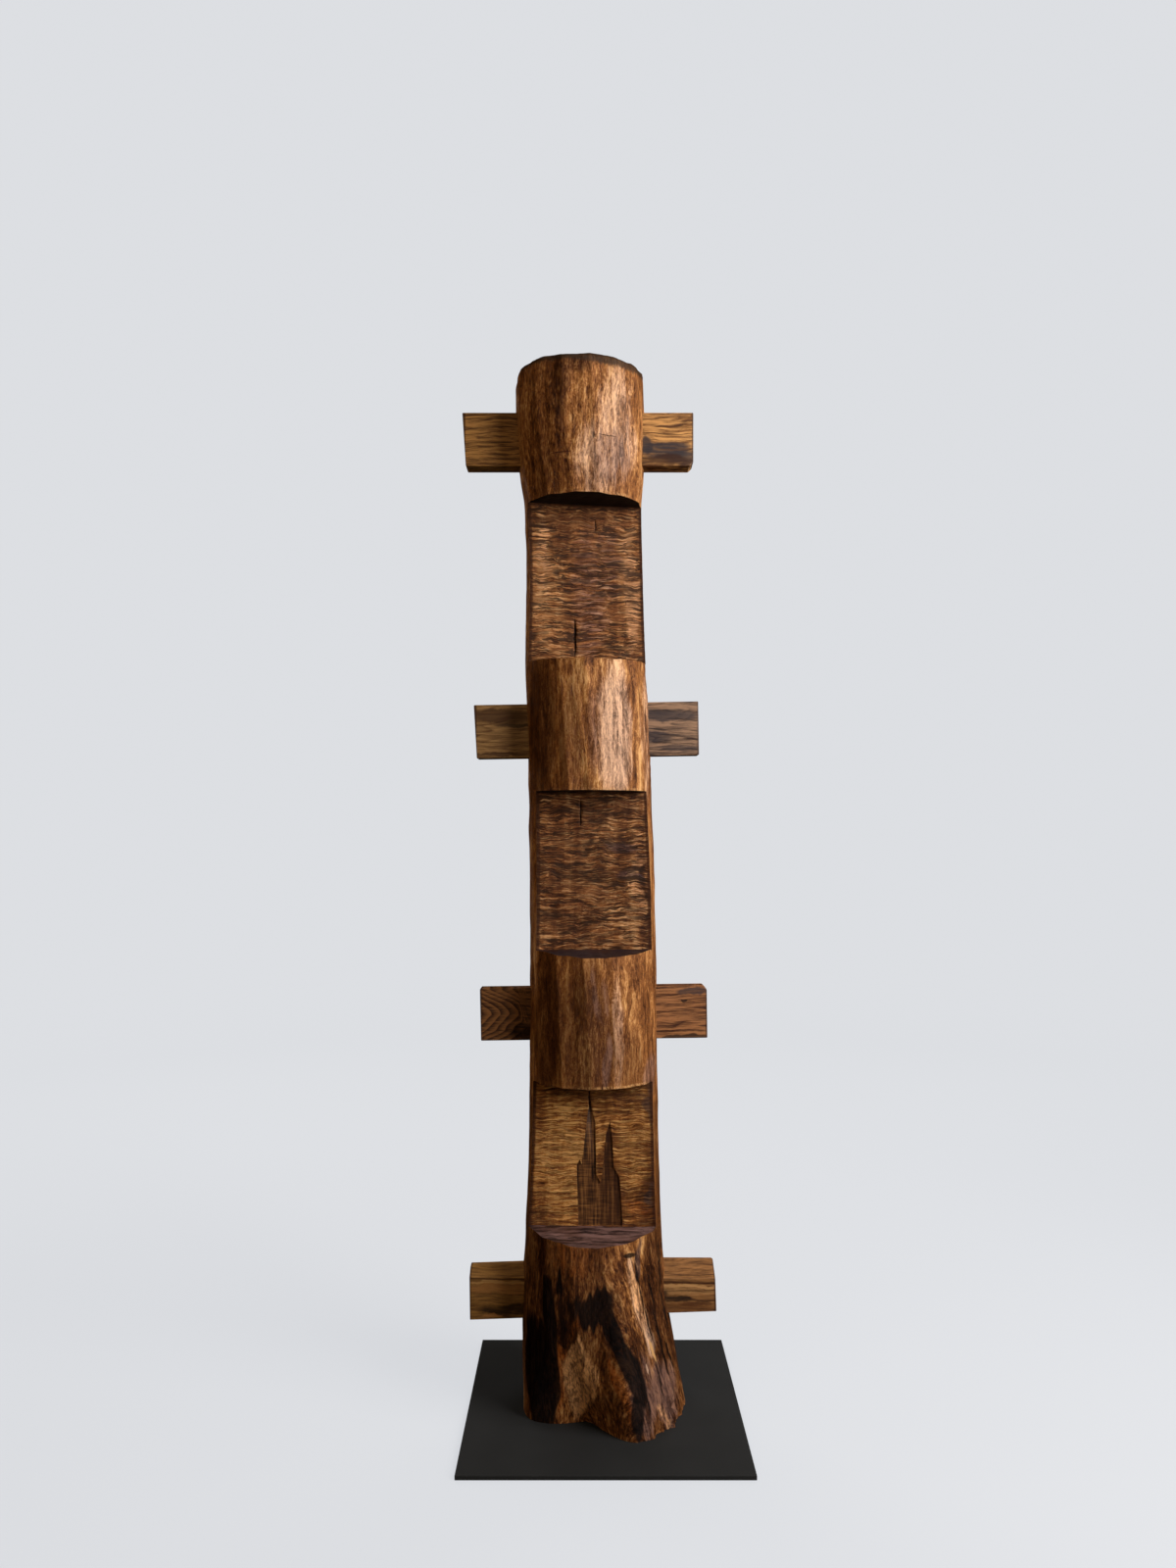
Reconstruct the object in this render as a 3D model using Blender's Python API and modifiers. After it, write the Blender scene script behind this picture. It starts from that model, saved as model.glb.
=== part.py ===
# Standing wooden totem: one tree trunk with three flat notches cut into its front,
# four boards let through it crosswise, and a square steel plate under its root.
# Metres, +Z up. The front, with the notches, faces -Y. The origin is the centre of the
# plate's underside.

import math
from collections import namedtuple

import bmesh
import bpy
from mathutils import Matrix, Vector

# Base plate
PLATE_SIDE = 0.500
PLATE_THICKNESS = 0.008
PLATE_EDGE = 0.0008

# Fits: pieces that touch keep this gap
CONTACT_GAP = 0.0003

# Trunk heights, stacked from the plate upwards
ROOT_HEIGHT = 0.331
LOW_NOTCH_HEIGHT = 0.276
LOW_BLOCK_HEIGHT = 0.232
MIDDLE_NOTCH_HEIGHT = 0.298
MIDDLE_BLOCK_HEIGHT = 0.234
TOP_NOTCH_HEIGHT = 0.296
HEAD_HEIGHT = 0.257

# Trunk section. The top is sawn a little aslant: it falls by TOP_FALL from the axis to the
# front and rises as much to the back. Its left shoulder is hewn in by SHOULDER_DEPTH
TRUNK_RADIUS = 0.120
RIM_CHAMFER = 0.008
SHOULDER_DEPTH = 0.009
SHOULDER_HEIGHT = 0.030
TOP_FALL = 0.011

# Broad flats left by the drawknife: how many round the log, how deep at their middle, the
# angle where one of their edges starts, how far they turn from foot to top, and how high up
# the root they begin
HEWN_FLATS = 14
HEWN_DEPTH = 0.0028
HEWN_START = 17.0
HEWN_TURN = 60.0
HEWN_FROM = 0.200

# The trunk's outline, from the root up: share of its height, sideways drift of its axis
# and radius, both as shares of TRUNK_RADIUS
OUTLINE = (
    (0.000, 0.025, 1.250),
    (0.036, -0.046, 1.218),
    (0.080, -0.115, 1.172),
    (0.122, -0.149, 1.122),
    (0.179, -0.164, 1.072),
    (0.265, -0.157, 1.035),
    (0.437, -0.164, 0.998),
    (0.595, -0.217, 0.974),
    (0.723, -0.284, 0.954),
    (0.790, -0.294, 0.930),
    (0.866, -0.321, 0.930),
    (0.895, -0.340, 0.972),
    (0.942, -0.367, 1.012),
    (1.000, -0.386, 1.018),
)

# Swellings and hollows of the root: angle from the front, positive to +X, half-width,
# radial share of TRUNK_RADIUS at the ground, and the height over which each one fades
ROOT_FORMS = (
    (-21.0, 44.0, -0.52, 0.215),
    (24.0, 24.0, 0.11, 0.400),
    (52.0, 30.0, 0.07, 0.130),
    (-72.0, 30.0, 0.05, 0.150),
    (152.0, 46.0, 0.08, 0.220),
)

# Notch floors: forward is the distance in front of the trunk's axis, turn is about the
# vertical in degrees, and fall is how far the sill drops from the floor to the front
Notch = namedtuple("Notch", "forward turn fall")
TOP_NOTCH = Notch(forward=0.026, turn=9.0, fall=0.005)
MIDDLE_NOTCH = Notch(forward=0.055, turn=2.0, fall=0.009)
LOW_NOTCH = Notch(forward=0.050, turn=-2.0, fall=0.011)

# Relief sunk into the low notch's floor: twin pointed spires, drawn from the left foot
# round to the right foot, as sideways and upward distances from the middle of the sill
RELIEF_DEPTH = 0.0025
RELIEF_LIP = 0.001
SPIRES = (
    (-0.028, 0.000),
    (-0.031, 0.110),
    (-0.026, 0.122),
    (-0.022, 0.113),
    (-0.019, 0.136),
    (-0.011, 0.207),
    (-0.006, 0.235),
    (-0.001, 0.204),
    (0.003, 0.190),
    (0.005, 0.094),
    (0.013, 0.079),
    (0.017, 0.108),
    (0.022, 0.167),
    (0.030, 0.193),
    (0.034, 0.159),
    (0.037, 0.108),
    (0.047, 0.090),
    (0.050, 0.060),
    (0.053, 0.000),
)

# Boards. face is the height of the broad face, left and right the reach from the trunk's
# axis, tilt in degrees has the right end up, rise is above the middle of the block, slant is
# how far the left end's top leans out, and corner is the cut corner of the right end,
# above it if positive and below if negative
BOARD_THICKNESS = 0.040
BOARD_EDGE = 0.0015
Board = namedtuple("Board", "face left right tilt rise slant corner")
TOP_BOARD = Board(
    face=0.099, left=0.216, right=0.2095, tilt=0.0, rise=-0.0045, slant=0.0065, corner=-0.007
)
UPPER_BOARD = Board(
    face=0.099, left=0.209, right=0.2055, tilt=0.95, rise=-0.002, slant=0.004, corner=0.0
)
LOWER_BOARD = Board(
    face=0.096, left=0.210, right=0.2105, tilt=0.75, rise=0.003, slant=0.001, corner=0.006
)
FOOT_BOARD = Board(
    face=0.092, left=0.232, right=0.2245, tilt=2.0, rise=0.046, slant=-0.002, corner=0.009
)

# The waney top of the foot board: how far its face stands below its back edge at the left
# and right ends, and the flat left along the back
WANE_LEFT = 0.013
WANE_RIGHT = 0.031
WANE_TOP_LAND = 0.004

# Mesh fineness
SIDES = 56
RING_SPACING = 0.055
ROOT_RING_SPACING = 0.030

PLATE_TOP = PLATE_THICKNESS
TRUNK_FOOT = PLATE_TOP + CONTACT_GAP
LOW_NOTCH_FROM = ROOT_HEIGHT
LOW_NOTCH_TO = LOW_NOTCH_FROM + LOW_NOTCH_HEIGHT
MIDDLE_NOTCH_FROM = LOW_NOTCH_TO + LOW_BLOCK_HEIGHT
MIDDLE_NOTCH_TO = MIDDLE_NOTCH_FROM + MIDDLE_NOTCH_HEIGHT
TOP_NOTCH_FROM = MIDDLE_NOTCH_TO + MIDDLE_BLOCK_HEIGHT
TOP_NOTCH_TO = TOP_NOTCH_FROM + TOP_NOTCH_HEIGHT
TRUNK_HEIGHT = TOP_NOTCH_TO + HEAD_HEIGHT
REACH = 3.0 * TRUNK_RADIUS


def clear_scene():
    for old in list(bpy.data.objects):
        bpy.data.objects.remove(old, do_unlink=True)


def collection(name):
    made = bpy.data.collections.new(name)
    bpy.context.scene.collection.children.link(made)
    return made


def material(name, colour, roughness, metallic=0.0):
    made = bpy.data.materials.new(name)
    made.use_nodes = True
    shader = made.node_tree.nodes["Principled BSDF"]
    shader.inputs["Base Color"].default_value = (*colour, 1.0)
    shader.inputs["Roughness"].default_value = roughness
    shader.inputs["Metallic"].default_value = metallic
    return made


def object_from(bm, name, into, finish=None):
    mesh = bpy.data.meshes.new(name)
    bmesh.ops.recalc_face_normals(bm, faces=bm.faces)
    bm.to_mesh(mesh)
    bm.free()
    made = bpy.data.objects.new(name, mesh)
    into.objects.link(made)
    if finish:
        mesh.materials.append(finish)
    return made


def smooth_step(share):
    clamped = min(max(share, 0.0), 1.0)
    return clamped * clamped * (3.0 - 2.0 * clamped)


def outline_at(height):
    """Drift of the axis and radius of the trunk at a height above its foot."""
    share = min(max(height / TRUNK_HEIGHT, 0.0), 1.0)
    row = max(i for i in range(len(OUTLINE) - 1) if OUTLINE[i][0] <= share)
    before, after = OUTLINE[max(row - 1, 0)], OUTLINE[min(row + 2, len(OUTLINE) - 1)]
    low, high = OUTLINE[row], OUTLINE[row + 1]
    span = high[0] - low[0]
    t = (share - low[0]) / span
    values = []
    for column in (1, 2):
        slope_low = span * (high[column] - before[column]) / (high[0] - before[0])
        slope_high = span * (after[column] - low[column]) / (after[0] - low[0])
        values.append(
            low[column] * (2 * t**3 - 3 * t**2 + 1)
            + slope_low * (t**3 - 2 * t**2 + t)
            + high[column] * (3 * t**2 - 2 * t**3)
            + slope_high * (t**3 - t**2)
        )
    return TRUNK_RADIUS * values[0], TRUNK_RADIUS * values[1]


def bump(angle, middle, half_width):
    """1 at the middle angle, falling smoothly to 0 at half_width on either side."""
    away = abs((angle - middle + 180.0) % 360.0 - 180.0)
    return smooth_step(1.0 - away / half_width)


def hewn_depth(angle, height):
    """How far a flat lies inside the round log: 0 on its edges and deepest at its middle."""
    turned = angle - HEWN_START + HEWN_TURN * height / TRUNK_HEIGHT
    across = (turned * HEWN_FLATS / 360.0) % 1.0
    return HEWN_DEPTH * (1.0 - (2.0 * across - 1.0) ** 2) * smooth_step(height / HEWN_FROM)


def trunk_radius(angle, height):
    """Radius of the trunk at an angle in degrees from the front and a height."""
    radius = outline_at(height)[1] - hewn_depth(angle, height)
    for middle, half_width, amount, fade in ROOT_FORMS:
        left = max(0.0, 1.0 - height / fade)
        radius += TRUNK_RADIUS * amount * left**1.5 * bump(angle, middle, half_width)
    from_top = TRUNK_HEIGHT - height
    radius -= SHOULDER_DEPTH * bump(angle, -90.0, 55.0) * max(0.0, 1.0 - from_top / SHOULDER_HEIGHT)
    radius -= max(0.0, RIM_CHAMFER - from_top)
    return radius


def trunk_blank(into, finish):
    """The whole log: a cylinder sliced into rings, each ring drawn to its section."""
    bm = bmesh.new()
    bmesh.ops.create_cone(
        bm, cap_ends=True, segments=SIDES, radius1=1.0, radius2=1.0, depth=TRUNK_HEIGHT,
        matrix=Matrix.Translation((0.0, 0.0, TRUNK_HEIGHT / 2)),
    )
    rings = [ROOT_RING_SPACING * i for i in range(1, int(ROOT_HEIGHT / ROOT_RING_SPACING))]
    upper = TRUNK_HEIGHT - SHOULDER_HEIGHT - ROOT_HEIGHT
    count = round(upper / RING_SPACING)
    rings += [ROOT_HEIGHT + upper * i / count for i in range(count + 1)]
    rings += [TRUNK_HEIGHT - SHOULDER_HEIGHT / 2, TRUNK_HEIGHT - RIM_CHAMFER]
    for height in rings:
        bmesh.ops.bisect_plane(
            bm, geom=bm.verts[:] + bm.edges[:] + bm.faces[:],
            plane_co=(0.0, 0.0, height), plane_no=(0.0, 0.0, 1.0),
        )
    for vertex in bm.verts:
        height = vertex.co.z
        angle = math.atan2(vertex.co.x, -vertex.co.y)
        drift = outline_at(height)[0]
        radius = trunk_radius(math.degrees(angle), height)
        vertex.co.x = drift + radius * math.sin(angle)
        vertex.co.y = -radius * math.cos(angle)
        near_top = max(0.0, 1.0 - (TRUNK_HEIGHT - height) / SHOULDER_HEIGHT)
        vertex.co.z = TRUNK_FOOT + height + TOP_FALL * near_top * vertex.co.y / TRUNK_RADIUS
    return object_from(bm, "trunk", into, finish)


def notch_frame(low, high, notch):
    """Axes of a notch floor: origin at the sill's middle, X along the floor, -Y out of it."""
    drift = outline_at((low + high) / 2)[0]
    place = Matrix.Translation((drift, -notch.forward, TRUNK_FOOT + low))
    return place @ Matrix.Rotation(math.radians(notch.turn), 4, "Z")


def notch_cutter(name, low, high, notch, into):
    """A block that clears the notch; its underside falls towards the front as a sill."""
    bm = bmesh.new()
    bmesh.ops.create_cube(bm, size=1.0)
    for vertex in bm.verts:
        at_front, at_sill = vertex.co.y < 0, vertex.co.z < 0
        vertex.co.x *= 2 * REACH
        vertex.co.y = -REACH if at_front else 0.0
        share = REACH / (TRUNK_RADIUS - notch.forward) if at_front else 0.0
        vertex.co.z = notch.fall * (1.0 - share) if at_sill else high - low
    bm.transform(notch_frame(low, high, notch))
    return object_from(bm, name, into)


def relief_cutter(into):
    """The spires' outline as a flat curve, sunk into the low notch's floor."""
    curve = bpy.data.curves.new("cut_spires", "CURVE")
    curve.dimensions = "2D"
    curve.fill_mode = "BOTH"
    curve.extrude = RELIEF_DEPTH
    spline = curve.splines.new("POLY")
    spline.points.add(len(SPIRES) - 1)
    for point, (sideways, up) in zip(spline.points, SPIRES):
        point.co = (sideways, LOW_NOTCH.fall + max(up, RELIEF_LIP), 0.0, 1.0)
    spline.use_cyclic_u = True
    drawn = bpy.data.objects.new("cut_spires_outline", curve)
    into.objects.link(drawn)
    frame = notch_frame(LOW_NOTCH_FROM, LOW_NOTCH_TO, LOW_NOTCH)
    drawn.matrix_world = frame @ Matrix.Rotation(math.radians(90.0), 4, "X")
    return meshed(drawn, "cut_spires", into)


def meshed(drawn, name, into):
    """A curve made into a closed mesh, so that it can cut."""
    bpy.context.view_layer.update()
    graph = bpy.context.evaluated_depsgraph_get()
    mesh = bpy.data.meshes.new_from_object(drawn.evaluated_get(graph))
    mesh.transform(drawn.matrix_world)
    bpy.data.objects.remove(drawn, do_unlink=True)
    bm = bmesh.new()
    bm.from_mesh(mesh)
    bmesh.ops.remove_doubles(bm, verts=bm.verts, dist=1e-5)
    return object_from(bm, name, into)


def board_frame(block_from, block_to, board):
    """Axes of a board: origin on the trunk's axis at the board's middle height."""
    height = (block_from + block_to) / 2 + board.rise
    place = Matrix.Translation((outline_at(height)[0], 0.0, TRUNK_FOOT + height))
    return place @ Matrix.Rotation(math.radians(-board.tilt), 4, "Y")


def board_blank(board, left, right, grown=0.0, waney=False):
    """A board from left to right of the trunk's axis, its section grown on every side."""
    face = board.face / 2 + grown
    half = BOARD_THICKNESS / 2 + grown
    bm = bmesh.new()
    bmesh.ops.create_cube(bm, size=1.0)
    for vertex in bm.verts:
        vertex.co.x = -left if vertex.co.x < 0 else right
        vertex.co.y = -half if vertex.co.y < 0 else half
        vertex.co.z = -face if vertex.co.z < 0 else face
    if waney:
        slope = (WANE_RIGHT - WANE_LEFT) / (board.left + board.right)
        middle_drop = WANE_LEFT + slope * board.left
        across = Vector((0.0, 2 * half - WANE_TOP_LAND, middle_drop))
        along = Vector((1.0, 0.0, -slope))
        cut_off(bm, Vector((0.0, -half, face - middle_drop)), along.cross(across))
    return bm


def cut_off(bm, point, normal):
    """Slices off what lies beyond a plane and closes the cut."""
    cut = bmesh.ops.bisect_plane(
        bm, geom=bm.verts[:] + bm.edges[:] + bm.faces[:],
        plane_co=point, plane_no=normal, clear_outer=True,
    )
    edges = [e for e in cut["geom_cut"] if isinstance(e, bmesh.types.BMEdge)]
    bmesh.ops.holes_fill(bm, edges=edges)


def cut_board(name, block_from, block_to, board, into, finish, waney):
    """One board, let through the trunk at its block."""
    bm = board_blank(board, board.left, board.right, waney=waney)
    for vertex in bm.verts:
        if vertex.co.x < 0:
            vertex.co.x -= board.slant * vertex.co.z / board.face
    if board.corner:
        side = math.copysign(1.0, board.corner)
        corner_height = side * board.face / 2 - board.corner
        cut_off(bm, Vector((board.right, 0.0, corner_height)), Vector((1.0, 0.0, side)))
    made = object_from(bm, name, into, finish)
    made.matrix_world = board_frame(block_from, block_to, board)
    soften = made.modifiers.new("worn edges", "BEVEL")
    soften.width = BOARD_EDGE
    soften.segments = 2
    soften.limit_method = "ANGLE"
    return made


def mortise_cutter(name, block_from, block_to, board, into, waney):
    """The board's own section, with the contact gap round it, longer than the log is wide."""
    bm = board_blank(board, REACH, REACH, grown=CONTACT_GAP, waney=waney)
    bm.transform(board_frame(block_from, block_to, board))
    return object_from(bm, name, into)


def base_plate(into, finish):
    bm = bmesh.new()
    bmesh.ops.create_cube(bm, size=1.0)
    bmesh.ops.scale(bm, vec=(PLATE_SIDE, PLATE_SIDE, PLATE_THICKNESS), verts=bm.verts)
    made = object_from(bm, "base_plate", into, finish)
    made.location = (0.0, 0.0, PLATE_THICKNESS / 2)
    soften = made.modifiers.new("eased edges", "BEVEL")
    soften.width = PLATE_EDGE
    soften.segments = 1
    return made


def main():
    clear_scene()
    parts = collection("wooden_totem")
    cutters = collection("cutters")
    trunk_wood = material("trunk_wood", (0.23, 0.105, 0.038), 0.45)
    board_wood = material("board_wood", (0.30, 0.155, 0.06), 0.5)
    black_steel = material("black_steel", (0.018, 0.018, 0.018), 0.55, 0.6)

    boards = {
        "top_board": (TOP_NOTCH_TO, TRUNK_HEIGHT, TOP_BOARD),
        "upper_board": (MIDDLE_NOTCH_TO, TOP_NOTCH_FROM, UPPER_BOARD),
        "lower_board": (LOW_NOTCH_TO, MIDDLE_NOTCH_FROM, LOWER_BOARD),
        "foot_board": (0.0, ROOT_HEIGHT, FOOT_BOARD),
    }

    trunk = trunk_blank(parts, trunk_wood)
    tools = [
        notch_cutter("cut_top_notch", TOP_NOTCH_FROM, TOP_NOTCH_TO, TOP_NOTCH, cutters),
        notch_cutter("cut_middle_notch", MIDDLE_NOTCH_FROM, MIDDLE_NOTCH_TO, MIDDLE_NOTCH, cutters),
        notch_cutter("cut_low_notch", LOW_NOTCH_FROM, LOW_NOTCH_TO, LOW_NOTCH, cutters),
        relief_cutter(cutters),
    ]
    for name, (low, high, board) in boards.items():
        waney = name == "foot_board"
        cut_board(name, low, high, board, parts, board_wood, waney)
        tools.append(mortise_cutter("cut_" + name, low, high, board, cutters, waney))
    for tool in tools:
        tool.hide_render = True
        tool.display_type = "WIRE"
        cut = trunk.modifiers.new(tool.name, "BOOLEAN")
        cut.operation = "DIFFERENCE"
        cut.object = tool
    base_plate(parts, black_steel)


main()
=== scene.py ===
# Looks of the standing wooden totem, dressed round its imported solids.
# Metres, Z up, the front faces -Y. Stations along the log are heights above its foot.

import math

import bmesh
import bpy
import numpy as np
from mathutils import Matrix, Vector


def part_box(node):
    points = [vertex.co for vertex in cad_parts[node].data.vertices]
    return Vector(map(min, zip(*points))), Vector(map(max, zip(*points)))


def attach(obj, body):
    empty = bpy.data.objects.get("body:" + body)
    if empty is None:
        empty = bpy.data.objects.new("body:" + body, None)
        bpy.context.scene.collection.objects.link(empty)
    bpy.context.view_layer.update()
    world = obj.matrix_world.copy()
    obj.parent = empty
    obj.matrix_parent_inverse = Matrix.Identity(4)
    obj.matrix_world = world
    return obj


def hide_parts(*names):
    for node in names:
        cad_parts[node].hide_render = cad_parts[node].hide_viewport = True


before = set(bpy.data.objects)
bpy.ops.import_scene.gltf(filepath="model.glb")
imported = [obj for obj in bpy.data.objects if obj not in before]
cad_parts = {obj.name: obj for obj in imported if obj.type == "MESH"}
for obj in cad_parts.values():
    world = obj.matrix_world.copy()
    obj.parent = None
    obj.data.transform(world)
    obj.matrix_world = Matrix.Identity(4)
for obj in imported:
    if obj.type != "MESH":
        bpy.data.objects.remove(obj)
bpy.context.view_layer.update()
print("packed frame loaded")


# Noise for the shapes

def cornerValue(ix, iy, iz, seed):
    # whole-number hash of a lattice corner, spread evenly from 0 to 1
    mixed = ix * 73856093 ^ iy * 19349663 ^ iz * 83492791 ^ seed * 265443576
    mixed = ((mixed ^ (mixed >> 13)) * 1274126177) & 0xFFFFFFFF
    return ((mixed ^ (mixed >> 16)) & 0xFFFF) / 65535.0


def softNoise(x, y, z, seed=0):
    # lattice values blended along each axis with 3t^2 - 2t^3, from -1 to 1
    x, y, z = np.broadcast_arrays(x, y, z)
    low = [np.floor(axis).astype(np.int64) for axis in (x, y, z)]
    part = [axis - whole for axis, whole in zip((x, y, z), low)]
    part = [t * t * (3 - 2 * t) for t in part]
    total = np.zeros(x.shape)
    for dx in (0, 1):
        for dy in (0, 1):
            for dz in (0, 1):
                weight = ((part[0] if dx else 1 - part[0]) * (part[1] if dy else 1 - part[1])
                          * (part[2] if dz else 1 - part[2]))
                total += weight * cornerValue(low[0] + dx, low[1] + dy, low[2] + dz, seed)
    return 2 * total - 1


def smoothStep(low, high, value):
    # 0 below low, 1 above high, 3t^2 - 2t^3 between
    t = np.clip((value - low) / (high - low), 0, 1)
    return t * t * (3 - 2 * t)


def bump(angle, middle, halfWidth):
    # 1 at the middle angle, falling smoothly to 0 at halfWidth either side, in degrees
    away = np.abs((angle - middle + 180) % 360 - 180)
    return smoothStep(0, 1, 1 - away / halfWidth)


# The log

log = {
    "radius": 0.120,
    "heights": {"root": 0.331, "lowNotch": 0.276, "lowBlock": 0.232, "middleNotch": 0.298,
                "middleBlock": 0.234, "topNotch": 0.296, "head": 0.257},
    "shares": [0, .036, .080, .122, .179, .265, .437, .595, .723, .790, .866, .895, .942, 1],
    "drifts": [.025, -.046, -.115, -.149, -.164, -.157, -.164, -.217, -.284, -.294, -.321,
               -.340, -.367, -.386],
    "radii": [1.250, 1.218, 1.172, 1.122, 1.072, 1.035, .998, .974, .954, .930, .930, .972,
              1.012, 1.018],
    "rootForms": [(-21, 44, -.52, .215), (24, 24, .11, .400), (52, 30, .07, .130),
                  (-72, 30, .05, .150), (152, 46, .08, .220)],
    "notches": [{"forward": .050, "turn": -2, "fall": .011, "waver": .0010},
                {"forward": .055, "turn": 2, "fall": .009, "waver": .0036},
                {"forward": .026, "turn": 9, "fall": .005, "waver": .0010}],
    "flats": {"count": 14, "depth": .0028, "start": 17, "turn": 60, "from": .200},
    "shoulder": {"depth": .009, "height": .030},
    "rim": .008,
    "topFall": .011,
    "wear": {"rim": .0022, "rimGrit": .0011, "rimWave": .0016, "ledge": .0012, "sillEdge": .0010},
    "frontColumns": 96,
    "backColumns": 74,
}
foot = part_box("trunk")[0].z
levels = np.cumsum(list(log["heights"].values()))
logHeight = levels[-1]


def outlineAt(height):
    # drift of the axis and radius of the log: cubic curves through the rows of the outline
    knots = np.array(log["shares"])
    share = np.clip(height / logHeight, 0, 1)
    row = np.clip(np.searchsorted(knots, share, side="right") - 1, 0, len(knots) - 2)
    before, after = np.maximum(row - 1, 0), np.minimum(row + 2, len(knots) - 1)
    span = knots[row + 1] - knots[row]
    t = (share - knots[row]) / span
    found = []
    for values in (np.array(log["drifts"]), np.array(log["radii"])):
        slopeLow = span * (values[row + 1] - values[before]) / (knots[row + 1] - knots[before])
        slopeHigh = span * (values[after] - values[row]) / (knots[after] - knots[row])
        found.append(values[row] * (2 * t**3 - 3 * t**2 + 1) + slopeLow * (t**3 - 2 * t**2 + t)
                     + values[row + 1] * (3 * t**2 - 2 * t**3) + slopeHigh * (t**3 - t**2))
    return log["radius"] * found[0], log["radius"] * found[1]


def logRadius(angle, height):
    # outline radius, less the hewn flats, with the root's swellings and hollows, the hewn
    # shoulder and the rim's chamfer; the flats are 1 - (2u - 1)^2 across each one's width
    flats = log["flats"]
    turned = angle - flats["start"] + flats["turn"] * height / logHeight
    across = (turned * flats["count"] / 360) % 1
    radius = outlineAt(height)[1] - (flats["depth"] * (1 - (2 * across - 1)**2)
                                     * smoothStep(0, flats["from"], height))
    for middle, halfWidth, amount, fade in log["rootForms"]:
        left = np.maximum(0, 1 - height / fade)
        radius = radius + log["radius"] * amount * left**1.5 * bump(angle, middle, halfWidth)
    fromTop = logHeight - height
    shoulder = log["shoulder"]
    near = np.maximum(0, 1 - fromTop / shoulder["height"])
    radius = radius - shoulder["depth"] * bump(angle, -90, 55) * near
    return radius - np.maximum(0, log["rim"] - fromTop)


# Tool marks on the log

hewing = {
    "cuts": 620, "seed": 7,
    "halfWidth": (4.0, 8.5),      # degrees round the log
    "halfLength": (.030, .105),
    "depth": (.0006, .0017),
    "waves": .0010,
    "fibres": .00028,
}


def hewnDepth(angle, height, x, y, z):
    # each drawknife cut removes depth * (1 - across^2 - along^2) and the deepest cut wins;
    # long waves and fine upright fibres are added
    rng = np.random.default_rng(hewing["seed"])
    removed = np.zeros(angle.shape)
    rowHeight = height[:, 0]
    for _ in range(hewing["cuts"]):
        middle, level = rng.uniform(-180, 180), rng.uniform(.02, logHeight)
        halfWidth, halfLength = rng.uniform(*hewing["halfWidth"]), rng.uniform(*hewing["halfLength"])
        depth = rng.uniform(*hewing["depth"])
        rows = np.abs(rowHeight - level) < halfLength
        across = ((angle[rows] - middle + 180) % 360 - 180) / halfWidth
        along = (height[rows] - level) / halfLength
        removed[rows] = np.maximum(removed[rows], depth * (1 - across**2 - along**2))
    waves = softNoise(x * 22, y * 22, z * 9, 3) * .6 + softNoise(x * 45, y * 45, z * 16, 4) * .4
    fibres = softNoise(x * 330, y * 330, z * 26, 5)
    return removed + hewing["waves"] * (.6 + waves) + hewing["fibres"] * (1 + fibres)


rooting = {"ridge": 19, "ridgeWidth": 15, "ridgeHeight": .006, "grooves": .0075, "crumble": .014}


def rootDepth(angle, height, x, y, z):
    # the flank's torn grooves lean with the flare, and its foot is chipped and crumbled
    low = smoothStep(.37, .16, height)
    flank = bump(angle, 55, 44) * low
    lean = z * 26 + angle / 16
    grooves = np.abs(softNoise(angle / 3.4 + z * 9, lean * .35, z * 7, 11))
    fine = np.abs(softNoise(angle / 1.5 + z * 15, z * 16, lean * .2, 12))
    depth = flank * rooting["grooves"] * (1 - 1.2 * grooves - .5 * fine)
    crest = bump(angle, rooting["ridge"], rooting["ridgeWidth"]) * smoothStep(.02, .10, height)
    depth = depth - rooting["ridgeHeight"] * crest * low
    nearFoot = smoothStep(.045, .0, height) * bump(angle, 52, 40)
    chips = np.maximum(0, softNoise(x * 62, y * 62, z * 70, 13)) + .6 * np.maximum(
        0, softNoise(x * 140, y * 140, z * 150, 14))
    return depth + rooting["crumble"] * nearFoot * chips


# Marks on the notch floors; each split is its notch, x, low and high end above the studio's
# floor and half-width
floorMarks = {
    "coarse": .0012,
    "fine": .0006,
    "splitDepth": .0045,
    "splits": [
        (2, -.0532, 1.393, 1.465, .0021), (2, -.0158, 1.628, 1.648, .0012),
        (1, -.0427, 1.080, 1.132, .0013), (0, -.0270, .556, .598, .0012),
    ],
}


def rippleDepth(across, height, notch):
    # cross-grain gouge ripples on a notch floor: ridged noise stretched sideways, bent by a
    # slower wave, in two sizes
    bend = .007 * softNoise(across * 17, height * 22, notch, 21)
    level = height + bend + .05 * across * softNoise(across * 8, height * 9, notch, 22)
    coarse = 1 - np.abs(softNoise(across * 15, level * 100, notch, 23))
    fine = 1 - np.abs(softNoise(across * 36, level * 200, notch, 24))
    return floorMarks["coarse"] * coarse**2 + floorMarks["fine"] * fine**2


def splitDepth(x, height, notch):
    # a V-shaped split, deepest at its middle height, that wanders a little sideways
    depth = np.zeros(x.shape)
    for where, middle, low, high, halfWidth in floorMarks["splits"]:
        along = (height + foot - low) / (high - low)
        inside = (notch == where) * smoothStep(0, .25, along) * smoothStep(1, .9, along)
        away = np.abs(x - middle - .0006 * np.sin(height * 190)) / (halfWidth * 1.5)
        depth = np.maximum(depth, floorMarks["splitDepth"] * inside * np.maximum(0, 1 - away))
    return depth


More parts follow.
